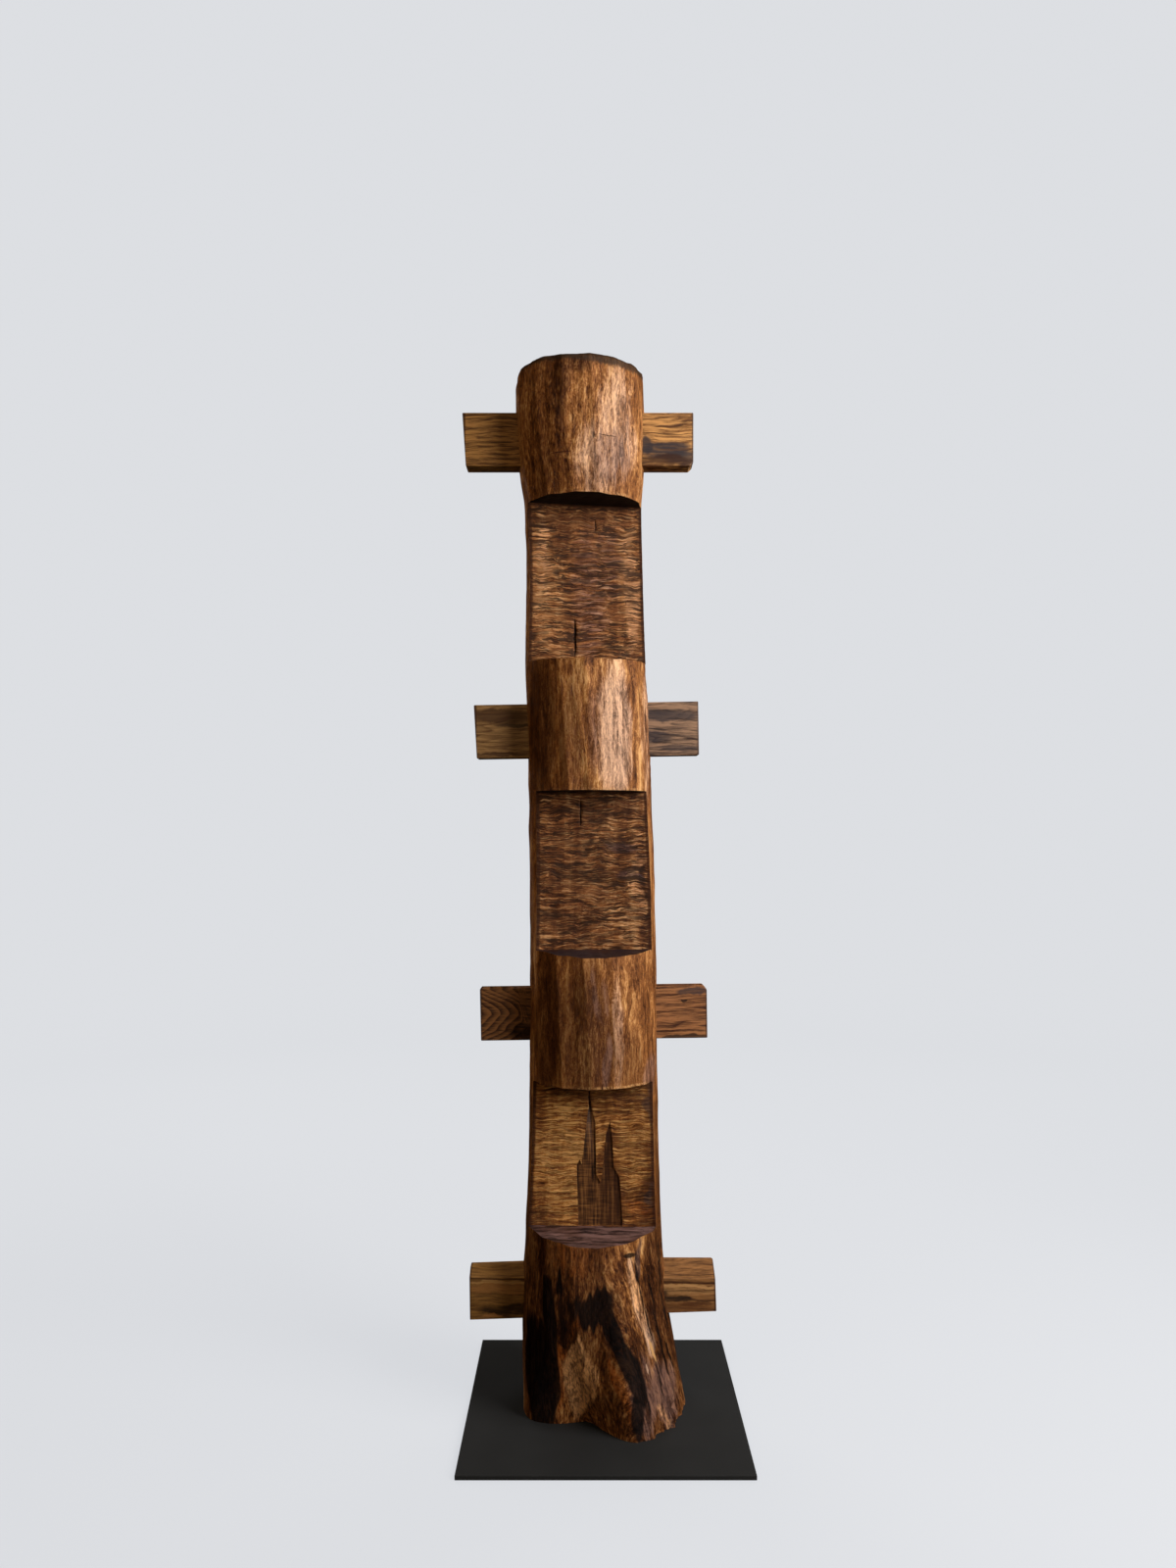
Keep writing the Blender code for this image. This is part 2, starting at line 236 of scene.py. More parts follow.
def logRows():
    # one row of the grid after another, from the middle of the underside to the middle of
    # the top: height, share of the way from the round to the notch floor, notch, share of the
    # radius, and what the row's faces are
    rows = []

    def add(heights, floor, notch, scale, kind):
        for one in np.broadcast(heights, floor, scale):
            rows.append((*one, notch, kind))

    def ledge(count):
        return np.arange(1, count) / count

    add(0, 0, 0, np.linspace(.12, .92, 5), "under")
    start = 0.0
    blockRows, floorRows, ledgeRows = (80, 45, 45, 56), (84, 90, 90), (9, 7, 9)
    for notch, setting in enumerate(log["notches"]):
        sill = levels[2 * notch] + setting["fall"]
        high = levels[2 * notch + 1]
        add(np.linspace(start, sill, blockRows[notch]), 0, notch, 1, "hewn")
        add(sill, ledge(ledgeRows[notch]), notch, 1, "sill")
        add(np.linspace(sill, high, floorRows[notch]), 1, notch, 1, "floor")
        add(high, 1 - ledge(ledgeRows[notch]), notch, 1, "soffit")
        start = high
    add(np.linspace(start, logHeight, blockRows[3]), 0, 2, 1, "hewn")
    add(logHeight, 0, 2, np.linspace(.955, .06, 13), "top")
    return rows


def logGrid():
    # every point of the log: the round surface and the notch floor are worked out for each
    # column, and a row lies on one, the other or on the ledge between them
    rows = logRows()
    height = np.array([row[0] for row in rows])[:, None]
    floor = np.array([row[1] for row in rows])[:, None]
    scale = np.array([row[2] for row in rows])[:, None]
    notch = np.array([row[3] for row in rows])[:, None]
    forward, turn, fall, waver = (np.array([one[name] for one in log["notches"]])[notch]
                                  for name in ("forward", "turn", "fall", "waver"))
    notchFrom, notchTo = levels[2 * notch], levels[2 * notch + 1]
    drift = outlineAt(height)[0]
    middleDrift = outlineAt((notchFrom + notchTo) / 2)[0]
    facing = np.radians(turn)
    plane = (middleDrift - drift) * np.sin(facing) + forward * np.cos(facing)

    halfSpread = []
    for side in (-1, 1):
        spread = np.full(height.shape, 65.0)
        for _ in range(5):
            edge = logRadius(turn + side * spread, height)
            spread = np.degrees(np.arccos(np.clip(plane / edge, 0, 1)))
        onFloor = floor[:, 0] == 1
        spread = np.interp(height[:, 0], height[onFloor, 0], spread[onFloor, 0])[:, None]
        halfSpread.append(np.radians(spread))
    onFloor = floor[:, 0] == 1
    facing = np.radians(np.interp(height[:, 0], height[onFloor, 0], turn[onFloor, 0]))[:, None]

    s = np.linspace(0, 1, log["frontColumns"] + 1)[None, :]
    sine = (1 - s) * -np.sin(halfSpread[0]) + s * np.sin(halfSpread[1])
    front = np.degrees(facing + np.arcsin(sine))
    v = (np.arange(1, log["backColumns"]) / log["backColumns"])[None, :]
    v = v - .05 * np.sin(2 * np.pi * v)
    back = front[:, -1:] + v * (360 + front[:, :1] - front[:, -1:])
    angle = np.hstack([front, back])

    turned = np.radians(angle)
    radius = logRadius(angle, height)
    x, y = drift + radius * np.sin(turned), -radius * np.cos(turned)
    level = np.broadcast_to(height, angle.shape)
    marks = hewnDepth(angle, level, x, y, level) + rootDepth(angle, level, x, y, level)
    rimWear = smoothStep(.026, .004, logHeight - height) * (scale == 1)
    wear = log["wear"]
    marks = marks + rimWear * (wear["rim"] * (1 + softNoise(x * 55, y * 55, level * 60, 33))
                               + wear["rimGrit"] * softNoise(x * 160, y * 160, level * 90, 34))
    sill = notchFrom + fall
    lower = smoothStep(0, 1, (height - sill + .05) / .05) * (height <= sill)
    out = (x - drift) * np.sin(facing) - y * np.cos(facing) - plane
    sillDrop = fall * np.clip(out, 0, None) / (log["radius"] - forward) * lower
    radius = (radius - marks) * scale
    x, y = drift + radius * np.sin(turned), -radius * np.cos(turned)
    z = foot + height - sillDrop
    nearTop = np.maximum(0, 1 - (logHeight - height) / log["shoulder"]["height"])
    z = z + log["topFall"] * nearTop * y / log["radius"]
    rimWave = smoothStep(.020, 0, logHeight - height)
    z = z - wear["rimWave"] * rimWave * (1 + softNoise(x * 48, y * 48, 0, 35))
    for notchEdge, reach, amount in ((notchTo, .012, waver),
                                     (sill, .010, wear["sillEdge"])):
        near = smoothStep(reach, 0, np.abs(height - notchEdge)) * (floor == 0)
        z = z + amount * near * softNoise(x * 62, y * 62, notch, 36)

    edges = [logRadius(np.degrees(facing + side * one), height) * np.sin(one) * side
             for side, one in zip((-1, 1), halfSpread)]
    across = (1 - s) * edges[0] + s * edges[1]
    tall = np.broadcast_to(height, across.shape)
    whichNotch = np.broadcast_to(notch, across.shape)
    flatX = drift + across * np.cos(facing) + plane * np.sin(facing)
    depth = plane - rippleDepth(across, tall, whichNotch) - splitDepth(flatX, tall, whichNotch)
    floorX = drift + across * np.cos(facing) + depth * np.sin(facing)
    floorY = across * np.sin(facing) - depth * np.cos(facing)
    columns = slice(0, log["frontColumns"] + 1)
    x[:, columns] += floor * (floorX - x[:, columns])
    y[:, columns] += floor * (floorY - y[:, columns])
    z[:, columns] += floor * (foot + height - z[:, columns])
    ledgeWear = 4 * floor * (1 - floor) * wear["ledge"]
    z[:, columns] -= ledgeWear * (1 + softNoise(x[:, columns] * 90, y[:, columns] * 60, height, 31))
    return np.stack([x, y, z], axis=-1), [row[4] for row in rows]


def gridMesh(name, points, poles):
    # a grid wrapped round into a tube, its ends closed by fans to the two poles
    rows, columns = points.shape[:2]
    at = np.arange(rows * columns).reshape(rows, columns)
    nextColumn = np.roll(at, -1, axis=1)
    quads = np.stack([at[:-1], nextColumn[:-1], nextColumn[1:], at[1:]], axis=-1).reshape(-1, 4)
    faces = quads.tolist()
    vertices = points.reshape(-1, 3).tolist()
    low, high = len(vertices), len(vertices) + 1
    vertices += [list(pole) for pole in poles]
    faces += [[low, b, a] for a, b in zip(at[0], nextColumn[0])]
    faces += [[high, a, b] for a, b in zip(at[-1], nextColumn[-1])]
    mesh = bpy.data.meshes.new(name)
    mesh.from_pydata(vertices, [], faces)
    mesh.update()
    return mesh


def meshFrom(name, bm):
    mesh = bpy.data.meshes.new(name)
    bm.to_mesh(mesh)
    bm.free()
    return mesh


def objectOf(name, mesh, *materials):
    made = bpy.data.objects.new(name, mesh)
    bpy.context.scene.collection.objects.link(made)
    for one in materials:
        mesh.materials.append(one)
    return made


# Boards

boards = {
    "top_board": {"between": (5, 6), "face": .099, "left": .216, "right": .2095, "tilt": 0,
                  "rise": -.0045},
    "upper_board": {"between": (3, 4), "face": .099, "left": .209, "right": .2055, "tilt": .95,
                    "rise": -.002},
    "lower_board": {"between": (1, 2), "face": .096, "left": .210, "right": .2105, "tilt": .75,
                    "rise": .003},
    "foot_board": {"between": (None, 0), "face": .092, "left": .232, "right": .2245, "tilt": 2,
                   "rise": .046, "wane": (.013, .031)},
}
joinery = {"thickness": .040, "gap": .0006, "toolReach": .36}


def boardPlace(board):
    # the board's own axes: on the log's axis, at the board's middle height, tilted about Y
    below, above = board["between"]
    low = 0 if below is None else levels[below]
    height = (low + levels[above]) / 2 + board["rise"]
    drift = float(outlineAt(np.array(height))[0])
    return (Matrix.Translation((drift, 0, foot + height))
            @ Matrix.Rotation(math.radians(-board["tilt"]), 4, "Y"))


def mortiseTool(name, board):
    # the board's section, a little larger, long enough to pass through the log
    bm = bmesh.new()
    bmesh.ops.create_cube(bm, size=1)
    gap, reach = joinery["gap"], joinery["toolReach"]
    face, half = board["face"] / 2 + gap, joinery["thickness"] / 2 + gap
    for vertex in bm.verts:
        vertex.co = Vector((math.copysign(reach, vertex.co.x), math.copysign(half, vertex.co.y),
                            math.copysign(face, vertex.co.z)))
    if "wane" in board:
        left, right = board["wane"]
        slope = (right - left) / (board["left"] + board["right"])
        drop = left + slope * board["left"]
        normal = Vector((1, 0, -slope)).cross(Vector((0, 2 * half - .004, drop)))
        cut = bmesh.ops.bisect_plane(bm, geom=bm.verts[:] + bm.edges[:] + bm.faces[:],
                                     plane_co=(0, -half, face - drop), plane_no=normal,
                                     clear_outer=True)
        bmesh.ops.holes_fill(bm, edges=[e for e in cut["geom_cut"]
                                        if isinstance(e, bmesh.types.BMEdge)])
    bmesh.ops.recalc_face_normals(bm, faces=bm.faces)
    bm.transform(boardPlace(board))
    return objectOf(name, meshFrom(name, bm))


# The spires sunk into the low notch: sideways and upward from the middle of its sill
spires = {
    "depth": .0032,
    "lip": .001,
    "outline": [(-.028, 0), (-.031, .110), (-.026, .122), (-.022, .113), (-.019, .136),
                (-.011, .207), (-.006, .235), (-.001, .204), (.003, .190), (.005, .094),
                (.013, .079), (.017, .108), (.022, .167), (.030, .193), (.034, .159),
                (.037, .108), (.047, .090), (.050, .060), (.053, 0)],
}


def spireTool():
    # the outline as a prism that reaches from the relief's bottom to well in front of the floor
    notch = log["notches"][0]
    drift = float(outlineAt(np.array((levels[0] + levels[1]) / 2))[0])
    place = (Matrix.Translation((drift, -notch["forward"], foot + levels[0]))
             @ Matrix.Rotation(math.radians(notch["turn"]), 4, "Z"))
    bm = bmesh.new()
    ring = [bm.verts.new((x, spires["depth"], notch["fall"] + max(z, spires["lip"])))
            for x, z in spires["outline"]]
    back = bm.faces.new(ring)
    grown = bmesh.ops.extrude_face_region(bm, geom=[back])
    for item in grown["geom"]:
        if isinstance(item, bmesh.types.BMVert):
            item.co.y = -.02
    bmesh.ops.recalc_face_normals(bm, faces=bm.faces)
    bm.transform(place)
    return objectOf("spires", meshFrom("spires", bm))


def carve(body, tools):
    # takes the tools' shapes out of the body, keeps their finishes and removes them
    group = bpy.data.collections.new("tools")
    for tool in tools:
        group.objects.link(tool)
    cut = body.modifiers.new("carve", "BOOLEAN")
    cut.operation = "DIFFERENCE"
    cut.solver = "EXACT"
    cut.operand_type = "COLLECTION"
    cut.collection = group
    cut.material_mode = "TRANSFER"
    bpy.context.view_layer.update()
    graph = bpy.context.evaluated_depsgraph_get()
    carved = bpy.data.meshes.new_from_object(body.evaluated_get(graph))
    body.modifiers.clear()
    body.data = carved
    for tool in tools:
        bpy.data.objects.remove(tool, do_unlink=True)
    bpy.data.collections.remove(group)


# Stains of the log's front, with the painted highlights of the pale channel, for each channel:
# x, height above the floor, half-width, half-height, lean (sideways for each metre up) and
# strength. The first lie on the round surfaces, the second on the notch floors
# pale carries painted highlights and edge painted shade; the other channels are stains
stainChannels = ("char", "gold", "purple", "umber", "tan", "orange", "blue", "pale", "edge")
stainLayers = ("stainsA", "stainsB", "stainsC")
stains = {
    "umber": [
        (-.085, 1.85, .020, .075, 0, .7), (-.110, 1.70, .014, .10, 0, .4),
        (-.062, 1.895, .040, .022, 0, .8), (-.116, 1.25, .026, .14, 0, .7),
        (-.038, 1.14, .016, .030, 0, .6), (-.072, 1.20, .012, .08, 0, .5), (-.056, 1.25, .022, .12, 0, .5),
        (-.098, .72, .028, .14, 0, .7), (-.035, .71, .055, .14, 0, .75), (.012, .66, .012, .07, 0, .6),
        (-.014, .655, .009, .05, 0, .8), (.050, .67, .030, .07, 0, .45), (-.132, .210, .034, .20, 0, 1),
        (-.085, .315, .034, .045, 0, .60), (-.030, .300, .045, .055, 0, .65),
        (-.066, .225, .034, .070, 0, 1), (.022, .190, .034, .100, -.38, .95),
        (.096, .290, .017, .080, -.1, 1), (.108, .150, .030, .120, -.25, .75),
        (.000, .140, .022, .060, -.3, .65), (.066, .055, .040, .060, -.1, 1),
        (.020, .040, .04, .04, -.3, .6), (.088, .290, .009, .060, -.05, 1),
        (.098, .050, .042, .060, -.2, 1), (-.050, .320, .060, .050, 0, .65),
        (.102, .190, .024, .120, -.2, .75), (-.025, .188, .034, .030, 0, .85),
        (.122, .110, .018, .060, -.2, .7), (.104, .460, .016, .17, 0, 1), (-.140, .500, .014, .15, 0, .6),
    ],
    "gold": [
        (-.005, 1.79, .060, .13, 0, .6), (.070, 1.80, .020, .10, 0, .5), (-.090, 1.74, .030, .05, 0, .4),
        (-.045, 1.80, .030, .09, .1, .6), (.010, 1.86, .050, .04, 0, .6), (.062, 1.74, .012, .12, 0, .6),
        (-.055, 1.67, .05, .04, 0, .5), (.02, 1.25, .050, .14, 0, .15), (-.045, 1.30, .024, .12, 0, .7),
        (-.030, 1.355, .045, .03, 0, .9), (.020, 1.35, .040, .04, 0, .8), (.066, 1.24, .014, .12, 0, 1),
        (-.040, .76, .014, .07, -.1, .9), (-.032, .68, .020, .08, .05, .8), (.034, .80, .024, .04, 0, .8),
        (.058, .72, .014, .10, 0, .7), (-.092, .335, .020, .025, 0, .6), (-.035, .325, .030, .020, 0, .5),
        (.010, .290, .020, .050, -.4, .8), (.026, .245, .010, .040, -.3, .8),
        (-.015, .110, .030, .060, -.3, .7), (.015, .050, .028, .030, -.3, .6),
        (-.030, .175, .018, .030, 0, .7), (.042, .322, .024, .030, 0, 1), (.036, .285, .008, .045, -.1, 1),
        (.036, .336, .026, .016, 0, 1), (.050, .255, .020, .080, -.2, .9),
        (.086, .165, .006, .030, -.3, .8), (.0765, .335, .0045, .022, 0, 1),
    ],
    # pale: painted highlights on the lit right-hand faces of the head and blocks and down the root's ridge;
    # there the tan patch at x .056 and the gold ones from x .036 to .050 add to it, the gold partly the
    # wood's own colour
    "pale": [
        (.020, 1.79, .040, .12, 0, .55), (-.020, 1.72, .036, .08, 0, .5),
        (.016, 1.25, .034, .13, -.05, .75), (.076, 1.25, .010, .13, 0, .45), (.028, .72, .014, .13, 0, .45),
        (.046, .310, .016, .030, 0, .55), (.052, .268, .016, .050, -.2, .45),
        (.063, .216, .016, .048, -.22, .5), (.076, .166, .012, .036, -.26, .80),
    ],
    "purple": [
        (.010, 1.735, .038, .050, -.1, .8), (.035, 1.80, .020, .05, 0, .4),
        (-.020, 1.69, .020, .035, 0, .4), (-.020, 1.24, .010, .10, -.04, .5),
        (.042, 1.24, .010, .08, 0, .3), (.005, .66, .010, .06, 0, .7), (-.015, .78, .008, .05, -.1, .6),
        (.004, .78, .008, .05, 0, .5), (.080, .62, .008, .05, 0, .7), (.070, .105, .015, .060, -.22, .65),
        (.066, .050, .012, .040, 0, .5), (.095, .060, .020, .035, -.3, .5),
        (.100, .070, .030, .060, -.25, .9), (.060, .080, .026, .070, -.2, .8),
    ],
    "char": [
        (-.097, .155, .014, .150, 0, 1), (-.118, .100, .024, .110, 0, 1), (-.097, .275, .009, .022, 0, .9),
        (-.074, .272, .009, .022, 0, .8), (-.016, .232, .032, .036, 0, 1),
        (-.044, .242, .020, .026, 0, .55), (.009, .212, .017, .032, -.5, 1),
        (.027, .172, .017, .050, -.38, 1), (.043, .125, .014, .050, -.30, .8),
        (.050, .065, .011, .045, -.1, .75), (-.068, .215, .012, .050, 0, .5),
    ],
    "orange": [
        (-.083, .105, .006, .075, .04, .8), (-.044, .205, .012, .022, 0, .55),
        (-.066, .168, .012, .022, .4, .6), (.030, .085, .010, .050, -.3, .5),
        (-.060, .330, .055, .040, 0, .35),
    ],
    "tan": [
        (-.052, .085, .034, .070, -.1, 1), (-.048, .145, .026, .032, 0, .9),
        (-.024, .100, .022, .055, -.2, .6), (.056, .265, .012, .060, -.2, .5),
        (.107, .030, .018, .012, 0, .35),
    ],
    "blue": [
        (.065, .320, .008, .028, 0, 1),
    ],
}
floorStains = {
    "gold": [
        (-.116, 1.53, .022, .14, 0, 1), (.050, 1.53, .022, .14, 0, 1), (-.085, 1.49, .020, .08, 0, .5),
        (-.06, 1.40, .07, .02, 0, .3), (.055, .93, .016, .090, 0, .9), (.050, .90, .02, .05, 0, .6),
        (-.07, 1.02, .04, .05, 0, .35), (-.080, .46, .050, .14, 0, 1), (-.060, .575, .05, .02, 0, .5),
        (.052, .50, .040, .10, 0, 1), (-.014, .50, .012, .08, 0, .9), (.060, .45, .012, .05, 0, .8),
    ],
    "purple": [
        (-.030, 1.50, .040, .15, 0, .45), (.014, 1.57, .030, .08, 0, .4),
    ],
    "umber": [
        (-.080, 1.615, .022, .045, 0, .6), (-.05, 1.645, .09, .014, 0, .5), (.078, .93, .008, .12, 0, .8),
        (-.02, 1.115, .10, .020, 0, .6), (-.05, .98, .08, .14, 0, .38), (.080, .39, .020, .06, 0, .8),
        (-.118, .36, .03, .03, 0, .5),
    ],
    "tan": [
        (.062, .99, .014, .10, 0, .35), (.050, 1.51, .016, .13, 0, .5), (-.114, 1.58, .012, .07, 0, .4),
    ],
    "blue": [
        (.030, 1.040, .045, .012, .1, .9), (.050, .990, .036, .009, .1, .9),
        (.086, .555, .014, .035, 0, .9), (.092, .42, .012, .05, 0, .8),
    ],
    "orange": [
        (.060, .385, .030, .020, 0, .4),
    ],
}


def paintStains(mesh):
    # each stain is 1.35 - d^2 of its leaning ellipse, its place bent by noise drawn out along
    # the grain, upright on the round surfaces and sideways on the floors, and the strongest
    # wins; the back and sides get slow noise patches instead
    points = np.empty(len(mesh.vertices) * 3)
    mesh.vertices.foreach_get("co", points)
    x, y, z = points.reshape(-1, 3).T
    channels = {name: np.zeros(len(x)) for name in stainChannels}
    frontness = smoothStep(.05, .0, y)
    bentX = x + .008 * softNoise(x * 30, 0, z * 11, 61) + .0035 * softNoise(x * 80, 1, z * 32, 62)
    bentZ = z + .022 * softNoise(x * 42, 2, z * 6, 63) + .014 * softNoise(x * 150, 3, z * 14, 64)
    floorX = x + .014 * softNoise(x * 12, 4, z * 45, 65)
    floorZ = z + .008 * softNoise(x * 22, 5, z * 30, 66)
    height = z - foot
    drift = outlineAt(height)[0]
    gap = logRadius(np.degrees(np.arctan2(x - drift, -y)), height) - np.hypot(x - drift, y)
    sunk = smoothStep(.005, .012, gap) * smoothStep(levels[0] - .004, levels[0] + .004, height)
    onFloor = smoothStep(0, .004, gap)
    for group, share, movedX, movedZ in ((stains, 1 - sunk, bentX, bentZ),
                                         (floorStains, onFloor, floorX, floorZ)):
        for channel, marks in group.items():
            for middle, level, halfWidth, halfHeight, lean, strength in marks:
                up = (movedZ - level) / halfHeight
                across = (movedX - middle - lean * (z - level)) / halfWidth
                here = strength * np.clip(1.35 - across**2 - up**2, 0, 1) * frontness * share
                channels[channel] = np.maximum(channels[channel], here)
    behind = 1 - frontness
    for channel, seed in (("gold", 41), ("purple", 42), ("umber", 43)):
        patch = softNoise(x * 24, y * 24, z * 7, seed) + .5 * softNoise(x * 60, y * 60, z * 14, seed + 9)
        channels[channel] = np.maximum(channels[channel], behind * smoothStep(.15, .75, patch))
    charBack = softNoise(x * 14, y * 14, z * 8, 47) + smoothStep(.30, .05, z)
    channels["char"] = np.maximum(channels["char"], behind * smoothStep(.75, 1.3, charBack))
    # painted shade along the notch edges, from the gap to the round surface and to the ledges
    edge = smoothStep(.0085, .0030, gap)
    for level in levels[:6]:
        edge = np.maximum(edge, .9 * smoothStep(.011, .001, np.abs(height - level)))
    channels["edge"] = edge * frontness
    for layer, name in enumerate(stainLayers):
        colours = np.ones((len(x), 4))
        for slot, channel in enumerate(stainChannels[3 * layer:3 * layer + 3]):
            colours[:, slot] = channels[channel]
        made = mesh.attributes.new(name, "FLOAT_COLOR", "POINT")
        made.data.foreach_set("color", colours.ravel())


# Shader shorthand

class Amount:
    # a number that varies over a surface; arithmetic on it makes the nodes that work it out
    def __init__(self, shader, socket):
        self.shader, self.socket = shader, socket

    def __add__(self, other):
        return self.shader.math("ADD", self, other)

    def __sub__(self, other):
        return self.shader.math("SUBTRACT", self, other)

    def __rsub__(self, other):
        return self.shader.math("SUBTRACT", other, self)

    def __mul__(self, other):
        return self.shader.math("MULTIPLY", self, other)

    def __truediv__(self, other):
        return self.shader.math("DIVIDE", self, other)

    def __pow__(self, other):
        return self.shader.math("POWER", self, other)

    def __abs__(self):
        return self.shader.math("ABSOLUTE", self)

    def fade(self, low, high, start=0.0, end=1.0):
        # start where the amount is at low, end where it is at high, 3t^2 - 2t^3 between
        made = self.shader.node("ShaderNodeMapRange", {0: self, 1: low, 2: high, 3: start, 4: end},
                                interpolation_type="SMOOTHSTEP")
        return Amount(self.shader, made.outputs[0])


class Shader:
    def __init__(self, name):
        self.material = bpy.data.materials.new(name)
        self.material.use_nodes = True
        self.tree = self.material.node_tree
        self.surface = self.tree.nodes["Principled BSDF"]
        self.place = self.node("ShaderNodeTexCoord").outputs["Object"]

    def node(self, kind, inputs=None, **settings):
        # a node with its settings, each input linked or set
        made = self.tree.nodes.new(kind)
        for key, value in settings.items():
            setattr(made, key, value)
        for key, value in (inputs or {}).items():
            self.join(value, made.inputs[key])
        return made

    def join(self, value, socket):
        value = getattr(value, "socket", value)
        if isinstance(value, bpy.types.NodeSocket):
            self.tree.links.new(value, socket)
        else:
            socket.default_value = value

    def math(self, operation, first, second=0.0):
        made = self.node("ShaderNodeMath", {0: first, 1: second}, operation=operation)
        return Amount(self, made.outputs[0])

    def vector(self, operation, first, second):
        return self.node("ShaderNodeVectorMath", {0: first, 1: second}, operation=operation).outputs[0]

    def split(self, vector=None):
        made = self.node("ShaderNodeSeparateXYZ", {0: self.place if vector is None else vector})
        return [Amount(self, one) for one in made.outputs]

    def noise(self, vector, stretch, scale, detail=3.0, roughness=.55, distortion=0.0):
        if stretch:
            vector = self.node("ShaderNodeMapping", {"Vector": vector, "Scale": stretch}).outputs[0]
        made = self.node("ShaderNodeTexNoise", {"Vector": vector, "Scale": scale, "Detail": detail,
                                                "Roughness": roughness, "Distortion": distortion})
        return Amount(self, made.outputs["Fac"])

    def wavering(self, vector, scale, amount):
        # the place moved by amount * (noise - .5) along each axis
        made = self.node("ShaderNodeTexNoise", {"Vector": vector, "Scale": scale, "Detail": 2})
        centred = self.vector("SUBTRACT", made.outputs["Color"], (.5, .5, .5))
        return self.vector("ADD", vector, self.vector("MULTIPLY", centred, (amount, amount, amount)))

    def ramp(self, value, *stops):
        made = self.node("ShaderNodeValToRGB", {0: value})
        elements = made.color_ramp.elements
        while len(elements) < len(stops):
            elements.new(.5)
        for element, (position, colour) in zip(elements, stops):
            element.position = position
            element.color = (*colour, 1)
        return made.outputs[0]

    def mix(self, share, first, second, blend="MIX"):
        first, second = ((*one, 1) if isinstance(one, tuple) else one for one in (first, second))
        made = self.node("ShaderNodeMix", data_type="RGBA", blend_type=blend)
        for index, value in ((0, share), (6, first), (7, second)):
            self.join(value, made.inputs[index])
        return made.outputs[2]

    def stain(self, name):
        # one channel of the painted stains
        index = stainChannels.index(name)
        made = self.node("ShaderNodeAttribute", attribute_name=stainLayers[index // 3])
        parts = self.node("ShaderNodeSeparateColor", {0: made.outputs["Color"]})
        return Amount(self, parts.outputs[index % 3])

    def bump(self, height, distance, strength):
        made = self.node("ShaderNodeBump", {"Height": height, "Distance": distance, "Strength": strength})
        return made.outputs[0]

    def spot(self, place, soft, x, z, width, height, lean):
        # 1 inside a leaning ellipse at x and z, fading out over its edge
        px, _, pz = self.split(place)
        up = pz - z
        away = abs((px - x - up * lean) / width) ** 2.0 + abs(up / height) ** 2.0
        return away.fade(1 + soft, 1 - soft)

    def finish(self, colour, roughness, normal, specular):
        self.join(colour, self.surface.inputs["Base Color"])
        self.join(roughness, self.surface.inputs["Roughness"])
        self.join(normal, self.surface.inputs["Normal"])
        self.surface.inputs["Specular IOR Level"].default_value = specular
        return self.material


# Oiled wood colours, darkest first
wood = {
    "char": (.0042, .0017, .0011),
    "stroke": (.018, .0070, .0032),
    "umber": (.034, .0088, .0021),
    "brown": (.115, .038, .0095),
    "redBrown": (.195, .067, .0175),
    "golden": (.36, .151, .044),
    "straw": (.60, .325, .125),
    "purple": (.130, .070, .056),
    "tan": (.54, .270, .115),
    "pale": (.52, .330, .225),
    "orange": (.27, .070, .011),
    "blue": (.030, .022, .026),
    "rim": (.036, .021, .013),
}

# Each stain's colour, laid in this order: where it starts and is full, its most and how far
# its edge is broken up, and how much of it is left where the grain is light
stainLooks = {
    # pale is painted highlight, laid the same way as the stains
    "pale": (.10, 1.0, .75, 2.6, .80), "umber": (.08, .90, .80, 2.6, .80),
    "purple": (.15, .95, .70, 2.6, .80), "tan": (.06, .9, .86, 2.6, .80),
    "orange": (.15, .95, .80, 2.6, .80), "blue": (.2, .85, .75, 2.6, .80),
    "char": (.18, .66, .98, 1.05, .97),
}
stainTones = (.42, 1.75)          # share of a stain's colour in dark and in light grain


def stainOver(shader, colour, breakUp, grain):
    # lays the painted stains and the pale painted highlights over a colour, their edges broken by
    # the streaks and their tone varied by the grain; also returns the share of the last, the char
    centred = breakUp - .5
    tone = grain.fade(.41, .59)
    for name, (low, high, most, broken, left) in stainLooks.items():
        share = shader.stain(name)
        reach = (share + centred * broken) * share.fade(.02, .30)
        reach = reach.fade(low, high, 0, most) * tone.fade(.35, 1.0, 1.0, left)
        darker, lighter = (tuple(part * one for part in wood[name]) for one in stainTones)
        colour = shader.mix(reach, colour, shader.mix(tone, darker, lighter))
    return colour, reach


def goldShare(shader, breakUp):
    gold = shader.stain("gold")
    reach = gold + (breakUp - .5) * 1.4
    return reach.fade(.15, 1.1) * gold.fade(.02, .3)


# Cracks, splinters and the knot: x, height above the floor, half-width, half-height, lean, tone
hewnCracks = [
    (-.0776, 1.746, .018, .0010, 0, "umber"), (.0061, 1.776, .016, .0009, 0, "umber"),
    (-.019, 1.775, .0012, .0065, 0, "char"), (.044, .3195, .012, .0044, 0, "char"),
    (.0860, .142, .0022, .022, -.32, "straw"), (.0760, .121, .0016, .009, -.20, "pale"),
    (.0785, .190, .0013, .030, -.24, "char"), (.0620, .262, .0013, .040, -.20, "char"),
    (.0850, .240, .0014, .045, -.20, "char"), (.0960, .175, .0016, .040, -.24, "char"),
    (.1060, .130, .0016, .045, -.25, "char"), (.1180, .120, .0016, .030, -.30, "char"),
    (.0990, .090, .0014, .035, -.22, "char"), (.1110, .190, .0014, .040, -.22, "char"),
    (.1010, .280, .0016, .045, -.06, "char"), (.0745, .075, .0014, .030, -.22, "char"),
]
floorCracks = [(x, (low + high) / 2, halfWidth, (high - low) / 2, 0, "char")
               for _, x, low, high, halfWidth in floorMarks["splits"]]
floorCracks.append((-.0205, .446, .0017, .018, 0, "char"))


